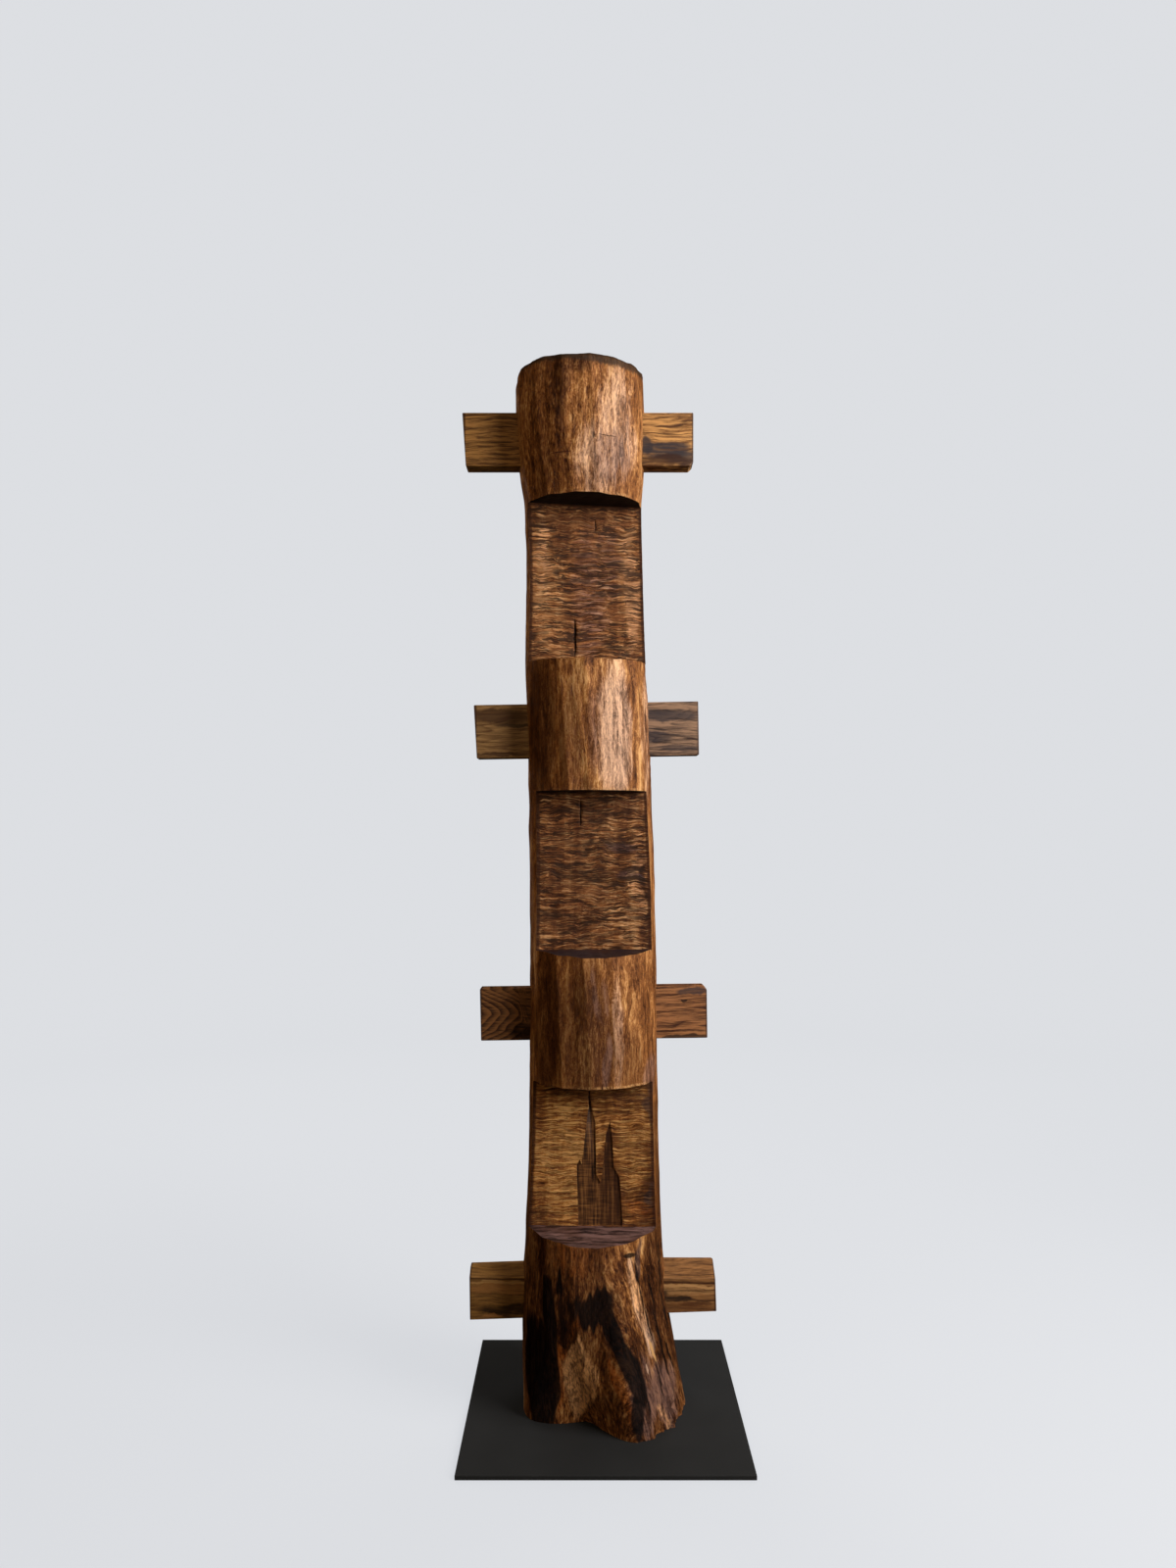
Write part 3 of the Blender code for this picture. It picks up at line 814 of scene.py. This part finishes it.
def cracksOver(shader, colour, cracks):
    broken = shader.wavering(shader.wavering(shader.place, 60, .004), 240, .0015)
    for *spot, tone in cracks:
        colour = shader.mix(shader.spot(broken, .45, *spot) * .92, colour, wood[tone])
    return colour


# Each grain is a noise: stretch, scale, detail, roughness and distortion
hewnLook = {
    "grains": {
        "broad": ((1, 1, .22), 34, 2, .5, .3),
        "streak": ((1, 1, .16), 84, 4, .65, .6),
        "curl": ((1, 1, .40), 190, 4, .75, 1.8),
        "fibre": ((1, 1, .13), 340, 4, .7),
        "swirl": ((1, 1, .26), 100, 3, .6, 2.4),
        "pore": ((1, 1, .05), 240, 2, .5),
    },
    "rootTop": .36,               # below it the wood is rougher and darker
    "curlyFrom": (1.62, 1.72),    # between these heights it turns curlier
    "flankLean": .27,
    "wornEdge": (.0050, .0015),
    "rim": (.0150, .0100),        # the dark rim fades in between these depths below the top
    "relief": .0021,
    "gloss": .11,
}


def hewnWood():
    # oiled heartwood cut along the grain: a weighted sum of broad upright bands, streaks, short
    # curly flecks and fibres, with thin dark pores, a dark rough rim at the top and a painted
    # highlight along the lower edge of each block; on the root's right the grain leans, x + lean * height
    shader, look = Shader("hewn_wood"), hewnLook
    rootTop, topLevel = look["rootTop"], foot + logHeight
    px, py, pz = shader.split()
    lean = shader.math("MINIMUM", pz - rootTop, 0.0) * px.fade(-.01, .07, 0, look["flankLean"])
    leaning = shader.node("ShaderNodeCombineXYZ", {0: px + lean, 1: py, 2: pz}).outputs[0]
    bent = shader.wavering(shader.wavering(leaning, 14, .012), 75, .0026)
    broad, streak, curl, fibre, swirl, pore = (shader.noise(bent, *one)
                                               for one in look["grains"].values())
    pore = abs(pore - .5).fade(.030, .008) * streak.fade(.58, .42)
    gold = goldShare(shader, streak)
    low = pz.fade(rootTop, rootTop - .10)
    curlier = ((swirl - .5) * .34 + (streak - .5) * -.20) * pz.fade(*look["curlyFrom"])
    mixed = broad * .22 + streak * .37 + curl * .36 + fibre * .24 - .095
    mixed = mixed + (fibre - .5) * low * .36 + curlier
    colour = shader.ramp(mixed + gold * .055 + low * -.023,
                         (.400, wood["umber"]), (.450, wood["brown"]), (.50, wood["redBrown"]),
                         (.555, wood["golden"]), (.635, wood["straw"]))
    colour, char = stainOver(shader, colour, streak * .6 + broad * .15 + curl * .25, mixed)
    colour = shader.mix(pore * .38, colour, wood["umber"])
    colour = cracksOver(shader, colour, hewnCracks)
    # painted highlight: a thin straw line just above the lower edge of each block, stronger towards the
    # right, standing for the arris catching the light
    for level in levels[1::2]:
        worn = abs(pz - (foot + level + .001)).fade(*look["wornEdge"]) * curl.fade(.44, .58)
        worn = worn * px.fade(-.08, .02, .1, .6) * py.fade(-.058, -.075)
        colour = shader.mix(worn, colour, wood["straw"])
    top = pz + py * (-log["topFall"] / log["radius"]) + (curl - .5) * .030 + px.fade(-.07, .01) * .008
    rim = top.fade(*(topLevel - depth for depth in look["rim"]))
    colour = shader.mix(rim * .88, colour, wood["rim"])
    height = (fibre * .5 + streak * .9 + curl * .6 + pore * -.3) * pz.fade(.33, .40, 1.8, .9)
    rough = curl.fade(.35, .65, .42, .56) + char * .35
    return shader.finish(colour, rough, shader.bump(height, look["relief"], .9), look["gloss"])


floorLook = {
    "ripple": ((.06, .4, 1), 240, 4, .7, .3),
    "strand": ((.08, .4, 1), 400, 4, .75, .4),
    "band": ((1, 1, .05), 62, 3, .6),
    "patch": ((.5, .4, 1), 55, 2),
    "strokes": [(75, .036, .040, 1.0), (130, .048, .06, 1.0), (240, .058, .10, .8)],
    # ^ scale, half-width, sideways stretch and most
    "lowTo": (.62, .72),          # below it the floor is yellower
    "topFrom": (1.15, 1.25),      # above it the floor is calmer
    "tone": (.62, 1.25, .521, .533),    # low and high, and the middle tone at each
    "lowTint": (1.0, .93, .72),
    "tint": (1.0, .99, 1.14),
    "relief": .0034,
    "gloss": .14,
}


def floorWood():
    # cross-cut floor: a weighted sum of wavy sideways ripples in two sizes and faint upright
    # bands, with thin dark strokes in three sizes where a noise is near its middle
    shader, look = Shader("rippled_wood"), floorLook
    lowTo, topFrom = look["lowTo"], look["topFrom"]
    pz = shader.split()[2]
    slow = shader.wavering(shader.place, 20, .020)
    bent = shader.wavering(slow, 70, .0030)
    ripple, strand = (shader.noise(bent, *look[name]) for name in ("ripple", "strand"))
    band, patch = (shader.noise(slow, *look[name]) for name in ("band", "patch"))
    strokes = 0.0
    for scale, width, stretch, most in look["strokes"]:
        line = shader.noise(bent, (stretch, .4, 1), scale, 2, .5, .3)
        strokes = shader.math("MAXIMUM", abs(line - .5).fade(width, width * .40, 0, most), strokes)
    strokes = strokes * patch.fade(.64, .46, .45, 1) * pz.fade(*lowTo, .60, 1.0)
    gold = goldShare(shader, ripple)
    contrast = pz.fade(*lowTo, 1.0, 1.12) * pz.fade(*topFrom, 1.0, .72)
    contrast = contrast - gold * pz.fade(*topFrom, 0, .30)
    mixed = (ripple * .36 + strand * .50 + band * .16 - .510) * contrast + pz.fade(*look["tone"])
    colour = shader.ramp(mixed + gold * pz.fade(*topFrom, .050, .040),
                         (.430, wood["umber"]), (.475, wood["brown"]), (.520, wood["redBrown"]),
                         (.565, wood["golden"]), (.620, wood["straw"]))
    colour, _ = stainOver(shader, colour, ripple, mixed)
    colour = shader.mix(pz.fade(*lowTo), shader.mix(.8, colour, look["lowTint"], "MULTIPLY"),
                        shader.mix(1.0, colour, look["tint"], "MULTIPLY"))
    colour = shader.mix(strokes * .9, colour, wood["stroke"])
    # painted shade: the floor darkened towards umber along its sides and next to the ledges
    edge = shader.stain("edge") + (ripple - .5) * 1.5
    colour = shader.mix(edge.fade(.25, .95, 0, .85), colour, wood["umber"])
    colour = cracksOver(shader, colour, floorCracks)
    height = ripple + strand * .55 + strokes * -.45
    normal = shader.bump(height, look["relief"], .9)
    return shader.finish(colour, strand.fade(.3, .7, .42, .58), normal, look["gloss"])


def sillWood():
    # open end grain of the ledges, greyed and dark, the upper ones darker and bluer
    shader = Shader("sill_wood")
    line = shader.noise(shader.wavering(shader.place, 30, .008), (.14, 1, 1), 100, 5, .75, .4)
    patch = shader.noise(shader.place, (.5, 1, 1), 26, 2)
    colour = shader.mix(shader.split()[2].fade(.45, .60),
                        shader.ramp(line, (.43, (.013, .0065, .0065)), (.58, (.19, .104, .091))),
                        shader.ramp(line, (.35, (.004, .0022, .0032)), (.65, (.030, .018, .022))))
    colour = shader.mix(patch.fade(.4, .7, 0, .6), colour, wood["umber"])
    return shader.finish(colour, .5, shader.bump(line, .0022, .8), .3)


def soffitShade():
    # the undersides of the blocks: sawn end grain, made nearly black as painted shade of the unlit
    # undersides
    shader = Shader("soffit_painted_shade")
    line = shader.noise(shader.wavering(shader.place, 30, .006), (.2, 1, 1), 240, 3)
    colour = shader.ramp(line, (.35, (.003, .0011, .0006)), (.65, (.013, .0050, .0024)))
    return shader.finish(colour, .65, shader.bump(line, .0012, .6), .15)


def endGrain():
    # rings about the heart, the fraction of 210 times the distance, with radial checks
    shader = Shader("end_grain")
    heart = (log["radius"] * log["drifts"][-1] + .012, .008, 0)
    flat = shader.vector("SUBTRACT", shader.wavering(shader.place, 24, .006), heart)
    px, py, _ = shader.split(flat)
    distance = shader.math("SQRT", px * px + py * py)
    ring = shader.math("FRACT", distance * 210)
    around = shader.node("ShaderNodeCombineXYZ", {0: shader.math("ARCTAN2", px, py)}).outputs[0]
    check = abs(shader.noise(around, None, 4.5, 2, .5) - .5).fade(.0055, .001)
    check = check * distance.fade(.015, .06)
    fine = shader.noise(shader.place, None, 420, 3, .7)
    colour = shader.ramp(ring * .35 + fine * .65, (.25, (.030, .018, .012)),
                         (.55, (.11, .070, .045)), (.8, (.20, .14, .09)))
    colour = shader.mix(check, colour, wood["char"])
    return shader.finish(colour, .62, shader.bump(fine - check * 3.0, .0012, .8), .36)


def spireWood():
    # the sunk ground of the spires: dark, with upright strokes crossed by faint level ones,
    # the right spire darker than the left
    shader = Shader("spire_wood")
    upright = shader.noise(shader.place, (1, 1, .05), 260, 4, .65, .2)
    level = shader.noise(shader.place, (.10, 1, 1), 330, 2, .6)
    mixed = upright * .7 + level * .3
    colour = shader.ramp(mixed, (.40, (.010, .0035, .0015)), (.50, (.072, .027, .008)),
                         (.61, (.20, .085, .026)))
    colour = shader.mix(shader.split()[0].fade(-.012, .000) * .45, colour, wood["umber"])
    colour = cracksOver(shader, colour, floorCracks)
    return shader.finish(colour, .5, shader.bump(mixed, .0016, .8), .3)


def mortiseShade():
    # the mortises' walls, nearly black: painted shade in the thin gaps round the boards
    shader = Shader("mortise_painted_shade")
    grain = shader.noise(shader.place, (1, 1, .1), 200, 2)
    colour = shader.ramp(grain, (.3, (.010, .005, .003)), (.7, (.035, .016, .008)))
    return shader.finish(colour, .7, shader.bump(grain, .0006, .5), .1)


# Each board's dark and light colour at its left and right end; the growth lines' number for
# each metre of height, bend and swirl, and how strongly they are inked; the streaks' scale,
# the fibres' share and how crisp both are. An arris is its height and slope, and a figure
# its place, its rise and its lines for each metre along
boardLooks = {
    "top_board": {"left": ((.10, .042, .010), (.38, .180, .048)),
                  "right": ((.14, .055, .016), (.60, .30, .095)),
                  "seed": 3.1, "lines": 120, "bend": 7, "swirl": 16, "inked": .8,
                  "streaks": 200, "fine": .10, "crisp": .060},
    "upper_board": {"left": ((.140, .068, .023), (.33, .180, .064)),
                    "right": ((.036, .022, .018), (.30, .175, .105)),
                    "seed": 8.4, "lines": 90, "bend": 11, "swirl": 20, "inked": .4,
                    "streaks": 150, "fine": .05, "crisp": .070},
    "lower_board": {"left": ((.038, .013, .004), (.21, .085, .025)),
                    "right": ((.050, .015, .006), (.33, .135, .048)),
                    "seed": 5.2, "lines": 110, "bend": 9, "swirl": 18, "inked": .45,
                    "streaks": 170, "fine": .05, "crisp": .058,
                    "figure": {"x": -.132, "z": -.002, "rise": .019, "along": 58}},
    "foot_board": {"left": ((.075, .030, .008), (.30, .145, .036)),
                   "right": ((.036, .012, .004), (.29, .128, .040)),
                   "seed": 1.7, "lines": 60, "bend": 6, "swirl": 10, "inked": .2,
                   "streaks": 230, "fine": .22, "crisp": .100, "arris": (.0183, -.0197)},
}

# Stains and knots of the boards, and two painted highlights under the foot board's arris, from
# each board's middle: x, z, half-width, half-height, lean, tone and strength
boardMarks = {
    "top_board": [
        (.122, -.010, .012, .016, 0, "blue", .9), (.158, -.020, .045, .015, -.25, "blue", .95),
        (.195, -.034, .040, .014, 0, "blue", .85), (.150, -.040, .06, .012, 0, "umber", .9),
        (.170, -.012, .035, .008, -.1, "blue", .7)],
    "upper_board": [
        (.150, .026, .055, .010, 0, "blue", .8), (.125, -.012, .030, .010, 0, "blue", .85),
        (.170, -.034, .04, .006, 0, "blue", .6), (-.165, .026, .055, .014, 0, "umber", .75),
        (-.135, .010, .035, .004, 0, "char", .7), (-.17, -.045, .05, .004, 0, "umber", .8)],
    "lower_board": [
        (.168, .024, .0045, .0035, 0, "char", .95), (.185, .042, .03, .007, 0, "blue", .8),
        (.165, -.045, .05, .006, 0, "char", .85), (-.125, -.034, .03, .018, 0, "char", .85)],
    "foot_board": [
        (-.165, .004, .080, .010, 0, "golden", .55), (.165, -.001, .080, .006, 0, "straw", .25),
        (-.165, -.034, .050, .009, 0, "char", .85), (-.190, -.044, .02, .003, 0, "golden", .7),
        (.155, -.014, .030, .005, .15, "char", .85), (.125, -.006, .012, .007, 0, "char", .8),
        (.185, -.024, .030, .005, .3, "umber", .8), (.175, -.042, .05, .003, 0, "umber", .6),
        # the two thin straw lines just under the arris are painted highlight along the worn edge
        (-.165, .0160, .080, .0030, 0, "straw", .35), (.165, .0085, .080, .0035, 0, "straw", .55),
        (.165, -.0005, .050, .0012, 0, "char", .4), (.165, -.030, .05, .010, 0, "brown", .55)],
}
planing = {
    "middleTone": .5075,          # where the ramp of every board is halfway
    "endBand": (.004, .0015),     # darker end grain, from a board's end inwards
    "relief": .0010,
    "gloss": .35,
}


def boardWood(name, board, look):
    # planed wood: growth lines are contours of height above an axis, bent by slow noise into
    # waves, with sideways streaks and fibres; a figure turns the contours into nested tongues,
    # |height / rise|^1.4 + along * distance, and an arris is a dark line along a worn edge
    shader = Shader(name)
    place = boardPlace(board).translation
    px, _, pz = shader.split()
    shifted = shader.vector("ADD", shader.place, (-place.x, look["seed"], -place.z))
    bent = shader.wavering(shifted, 12, .016)
    bentX, _, bentZ = shader.split(bent)
    slow = shader.noise(shifted, (.16, .6, 1), look["swirl"], 2, .5, .2)
    streak = shader.noise(bent, (.06, .6, 1), look["streaks"], 4, .65, .4)
    fibre = shader.noise(bent, (.05, .6, 1), 560, 4, .7)
    field = bentZ * look["lines"] + slow * look["bend"]
    figure = look.get("figure")
    if figure:
        up = abs((bentZ - figure["z"]) / figure["rise"]) ** 1.4
        tongue = up + slow * 3.0 + (bentX - figure["x"]) * figure["along"]
        inside = bentX.fade(figure["x"] + .010, figure["x"] - .006)
        field = tongue * inside + field * (1.0 - inside)
    ring = shader.math("FRACT", field)
    mixed = streak * (.55 - look["fine"]) + fibre * (.30 + look["fine"]) + ring * .07 + slow * .12
    if figure:
        mixed = mixed + ((ring - .5) * .10 + (streak - .5) * -.30) * inside
    low, high = planing["middleTone"] - look["crisp"], planing["middleTone"] + look["crisp"]
    left, right = (shader.ramp(mixed, (low, dark), (high, light))
                   for dark, light in (look["left"], look["right"]))
    colour = shader.mix(px.fade(-.02, -.04), right, left)
    line = shader.math("MAXIMUM", ring.fade(.22, .02), ring.fade(.90, .99))
    line = line * streak.fade(.60, .44, .10, look["inked"])
    colour = shader.mix(line, colour, wood["umber"])
    broken = shader.wavering(shader.wavering(shader.place, 34, .016), 130, .005)
    patchy = streak.fade(.34, .52, .35, 1.0)
    for x, z, width, height, lean, tone, most in boardMarks[name]:
        spot = shader.spot(broken, .5, place.x + x, place.z + z, width, height, lean)
        colour = shader.mix(spot * patchy * most, colour, wood[tone])
    if "arris" in look:
        level, slope = look["arris"]
        edgeX, _, edgeZ = shader.split(shader.wavering(shader.place, 25, .0035))
        line = abs(edgeZ + edgeX * -slope - (place.z + level - slope * place.x)).fade(.0022, .0006, 0, .8)
        colour = shader.mix(line, colour, wood["umber"])
    leftEnd, rightEnd = place.x - board["left"], place.x + board["right"]
    ends = (px.fade(*(leftEnd + one for one in planing["endBand"]))
            + px.fade(*(rightEnd - one for one in planing["endBand"])))
    colour = shader.mix(ends * .8, colour, wood["umber"])
    height = streak + fibre * .6 + line * -.25
    normal = shader.bump(height, planing["relief"], .7)
    return shader.finish(colour, streak.fade(.3, .7, .46, .58), normal, planing["gloss"])


def steelFinish():
    # matt black coating on steel, faintly mottled
    shader = Shader("black_coated_steel")
    grain = shader.noise(shader.place, None, 900, 2)
    patch = shader.noise(shader.place, None, 9, 3)
    colour = shader.mix(patch.fade(.3, .7), (.0175, .0178, .0182), (.0195, .0198, .0202))
    return shader.finish(colour, patch.fade(.3, .7, .72, .80), shader.bump(grain, .0002, .25), .12)


# Making the pieces

print("working out the log")
points, kinds = logGrid()
ends = [points[0].mean(axis=0), points[-1].mean(axis=0)]
logMesh = gridMesh("log", points, ends)
finishes = [hewnWood(), floorWood(), sillWood(), endGrain(), soffitShade()]
trunk = objectOf("log", logMesh, *finishes)
which = {"hewn": 0, "under": 0, "floor": 1, "sill": 2, "top": 3, "soffit": 4}
columnCount = points.shape[1]
faceRows = len(points) - 1
faceKinds = np.zeros((faceRows, columnCount), dtype=np.int32)
for row in range(faceRows):
    pair = {kinds[row], kinds[row + 1]}
    kind = next((one for one in ("sill", "soffit", "top") if one in pair), kinds[row])
    if kind == "top":
        faceKinds[row] = which["top"]
    else:
        faceKinds[row, :log["frontColumns"]] = which[kind]
indices = np.concatenate([faceKinds.ravel(), np.zeros(columnCount), np.full(columnCount, which["top"])])
logMesh.polygons.foreach_set("material_index", indices.astype(np.int32))

print("carving the mortises and the spires")
tools = [mortiseTool("mortise_" + name, board) for name, board in boards.items()]
mortiseFinish, spireFinish = mortiseShade(), spireWood()
for tool in tools:
    tool.data.materials.append(mortiseFinish)
spireCutter = spireTool()
spireCutter.data.materials.append(spireFinish)
carve(trunk, [*tools, spireCutter])
paintStains(trunk.data)
trunk.data.shade_smooth()
trunk.data.set_sharp_from_angle(angle=math.radians(50))
print("log has", sum(len(face.vertices) - 2 for face in trunk.data.polygons), "triangles")
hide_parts("trunk")
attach(trunk, "root")

print("finishing the boards and the plate")
for name in boards:
    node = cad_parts[name]
    node.data.materials.clear()
    node.data.materials.append(boardWood(name, boards[name], boardLooks[name]))
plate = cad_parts["base_plate"]
plate.data.materials.clear()
plate.data.materials.append(steelFinish())


# Studio

studio = {
    "wall": (.722, .737, .766),
    "floor": (.615, .635, .672),
    "floorLit": .10,
    "floorRadius": 11.9,
    "floorDrop": .0005,
    "domeRadius": 12,
    "wallFrom": (.75, .16),            # the floor turns to the wall's colour between these 1 / metres
    "ambient": .15,
    "ambientRise": (-.30, .40, .05, 1.0),   # downward and upward slope, and the share at each
    "ambientColour": (1, .88, .74, 1),
    "aim": (0, 0, 1.05),
    "lights": {
        "key": {"power": 120, "size": (1.5, 2.0), "azimuth": 58, "height": 1.85, "distance": 2.45,
                "colour": (1, .97, .93)},
        "fill": {"power": 19, "size": (2.0, 2.0), "azimuth": -42, "height": 2.0, "distance": 3.1,
                 "colour": (1, .76, .46)},
        "backLeft": {"power": 70, "size": (2.0, 2.6), "azimuth": 212, "height": 2.0,
                     "distance": 3.4, "colour": (1, .96, .92)},
        "backRight": {"power": 60, "size": (2.0, 2.6), "azimuth": 152, "height": 2.0,
                      "distance": 3.4, "colour": (1, .97, .95)},
    },
}


def glowing(name, colour, lit):
    # a finish that mostly glows by itself and takes only a share of the light and shadow
    shader = Shader(name)
    for socket, value in (("Base Color", (lit, lit, lit, 1)), ("Roughness", .9), ("Specular IOR Level", 0),
                          ("Emission Color", (*colour, 1)), ("Emission Strength", 1.0)):
        shader.surface.inputs[socket].default_value = value
    return shader


def stageSurface(name, bm, shader):
    # a part of the stage that only the camera sees
    made = objectOf(name, meshFrom(name, bm), shader.material)
    made.visible_diffuse = False
    made.visible_glossy = False
    return made


def stageSurfaces():
    # a pale floor disc inside a pale dome; the floor's colour turns to the wall's with distance
    bm = bmesh.new()
    bmesh.ops.create_circle(bm, cap_ends=True, segments=96, radius=studio["floorRadius"])
    shader = glowing("pale_floor", studio["floor"], studio["floorLit"])
    floor = stageSurface("floor", bm, shader)
    floor.location.z = -studio["floorDrop"]
    length = shader.node("ShaderNodeVectorMath", {0: shader.place}, operation="LENGTH")
    far = shader.math("DIVIDE", 1, length.outputs["Value"]).fade(*studio["wallFrom"])
    shader.join(shader.mix(far, studio["floor"], studio["wall"]), shader.surface.inputs["Emission Color"])
    shader.join((1.0 - far) * studio["floorLit"], shader.surface.inputs["Base Color"])
    bm = bmesh.new()
    bmesh.ops.create_uvsphere(bm, u_segments=64, v_segments=32, radius=studio["domeRadius"])
    bmesh.ops.reverse_faces(bm, faces=bm.faces)
    dome = stageSurface("dome", bm, glowing("pale_wall", studio["wall"], 0))
    dome.visible_shadow = False


def softLight(name, light):
    lamp = bpy.data.lights.new(name, "AREA")
    lamp.shape = "RECTANGLE"
    lamp.energy = light["power"]
    lamp.color = light["colour"]
    lamp.size, lamp.size_y = light["size"]
    made = bpy.data.objects.new(name, lamp)
    bpy.context.scene.collection.objects.link(made)
    turn = math.radians(light["azimuth"])
    made.location = (math.sin(turn) * light["distance"], -math.cos(turn) * light["distance"],
                     light["height"])
    made.rotation_euler = (Vector(studio["aim"]) - made.location).to_track_quat("-Z", "Y").to_euler()
    made.visible_glossy = name == "key"


def ambientLight():
    # dim from above and the sides, nearly none from below
    world = bpy.data.worlds.new("studio")
    bpy.context.scene.world = world
    world.use_nodes = True
    world.cycles_visibility.glossy = False
    nodes, links = world.node_tree.nodes, world.node_tree.links
    split = nodes.new("ShaderNodeSeparateXYZ")
    links.new(nodes.new("ShaderNodeTexCoord").outputs["Generated"], split.inputs[0])
    rise = nodes.new("ShaderNodeMapRange")
    links.new(split.outputs[2], rise.inputs["Value"])
    for index, number in enumerate(studio["ambientRise"], start=1):
        rise.inputs[index].default_value = number
    strength = nodes.new("ShaderNodeMath")
    strength.operation = "MULTIPLY"
    links.new(rise.outputs[0], strength.inputs[0])
    strength.inputs[1].default_value = studio["ambient"]
    links.new(strength.outputs[0], nodes["Background"].inputs["Strength"])
    nodes["Background"].inputs["Color"].default_value = studio["ambientColour"]


camera = {
    "place": (-.02936, -2.11025, 1.069),
    "lens": 25.875,               # millimetres, on the 36 mm long side
    "longSide": 36,
    "shiftUp": .03125,
    "clip": (.05, 60),
}


def photoCamera():
    data = bpy.data.cameras.new("camera")
    data.sensor_width = camera["longSide"]
    data.lens = camera["lens"]
    data.shift_y = camera["shiftUp"]
    data.clip_start, data.clip_end = camera["clip"]
    made = bpy.data.objects.new("camera", data)
    bpy.context.scene.collection.objects.link(made)
    made.location = camera["place"]
    made.rotation_euler = (math.radians(90), 0, 0)
    bpy.context.scene.camera = made


print("setting up the studio")
stageSurfaces()
ambientLight()
for name, light in studio["lights"].items():
    softLight(name, light)
photoCamera()
bpy.context.scene.view_settings.view_transform = "Standard"
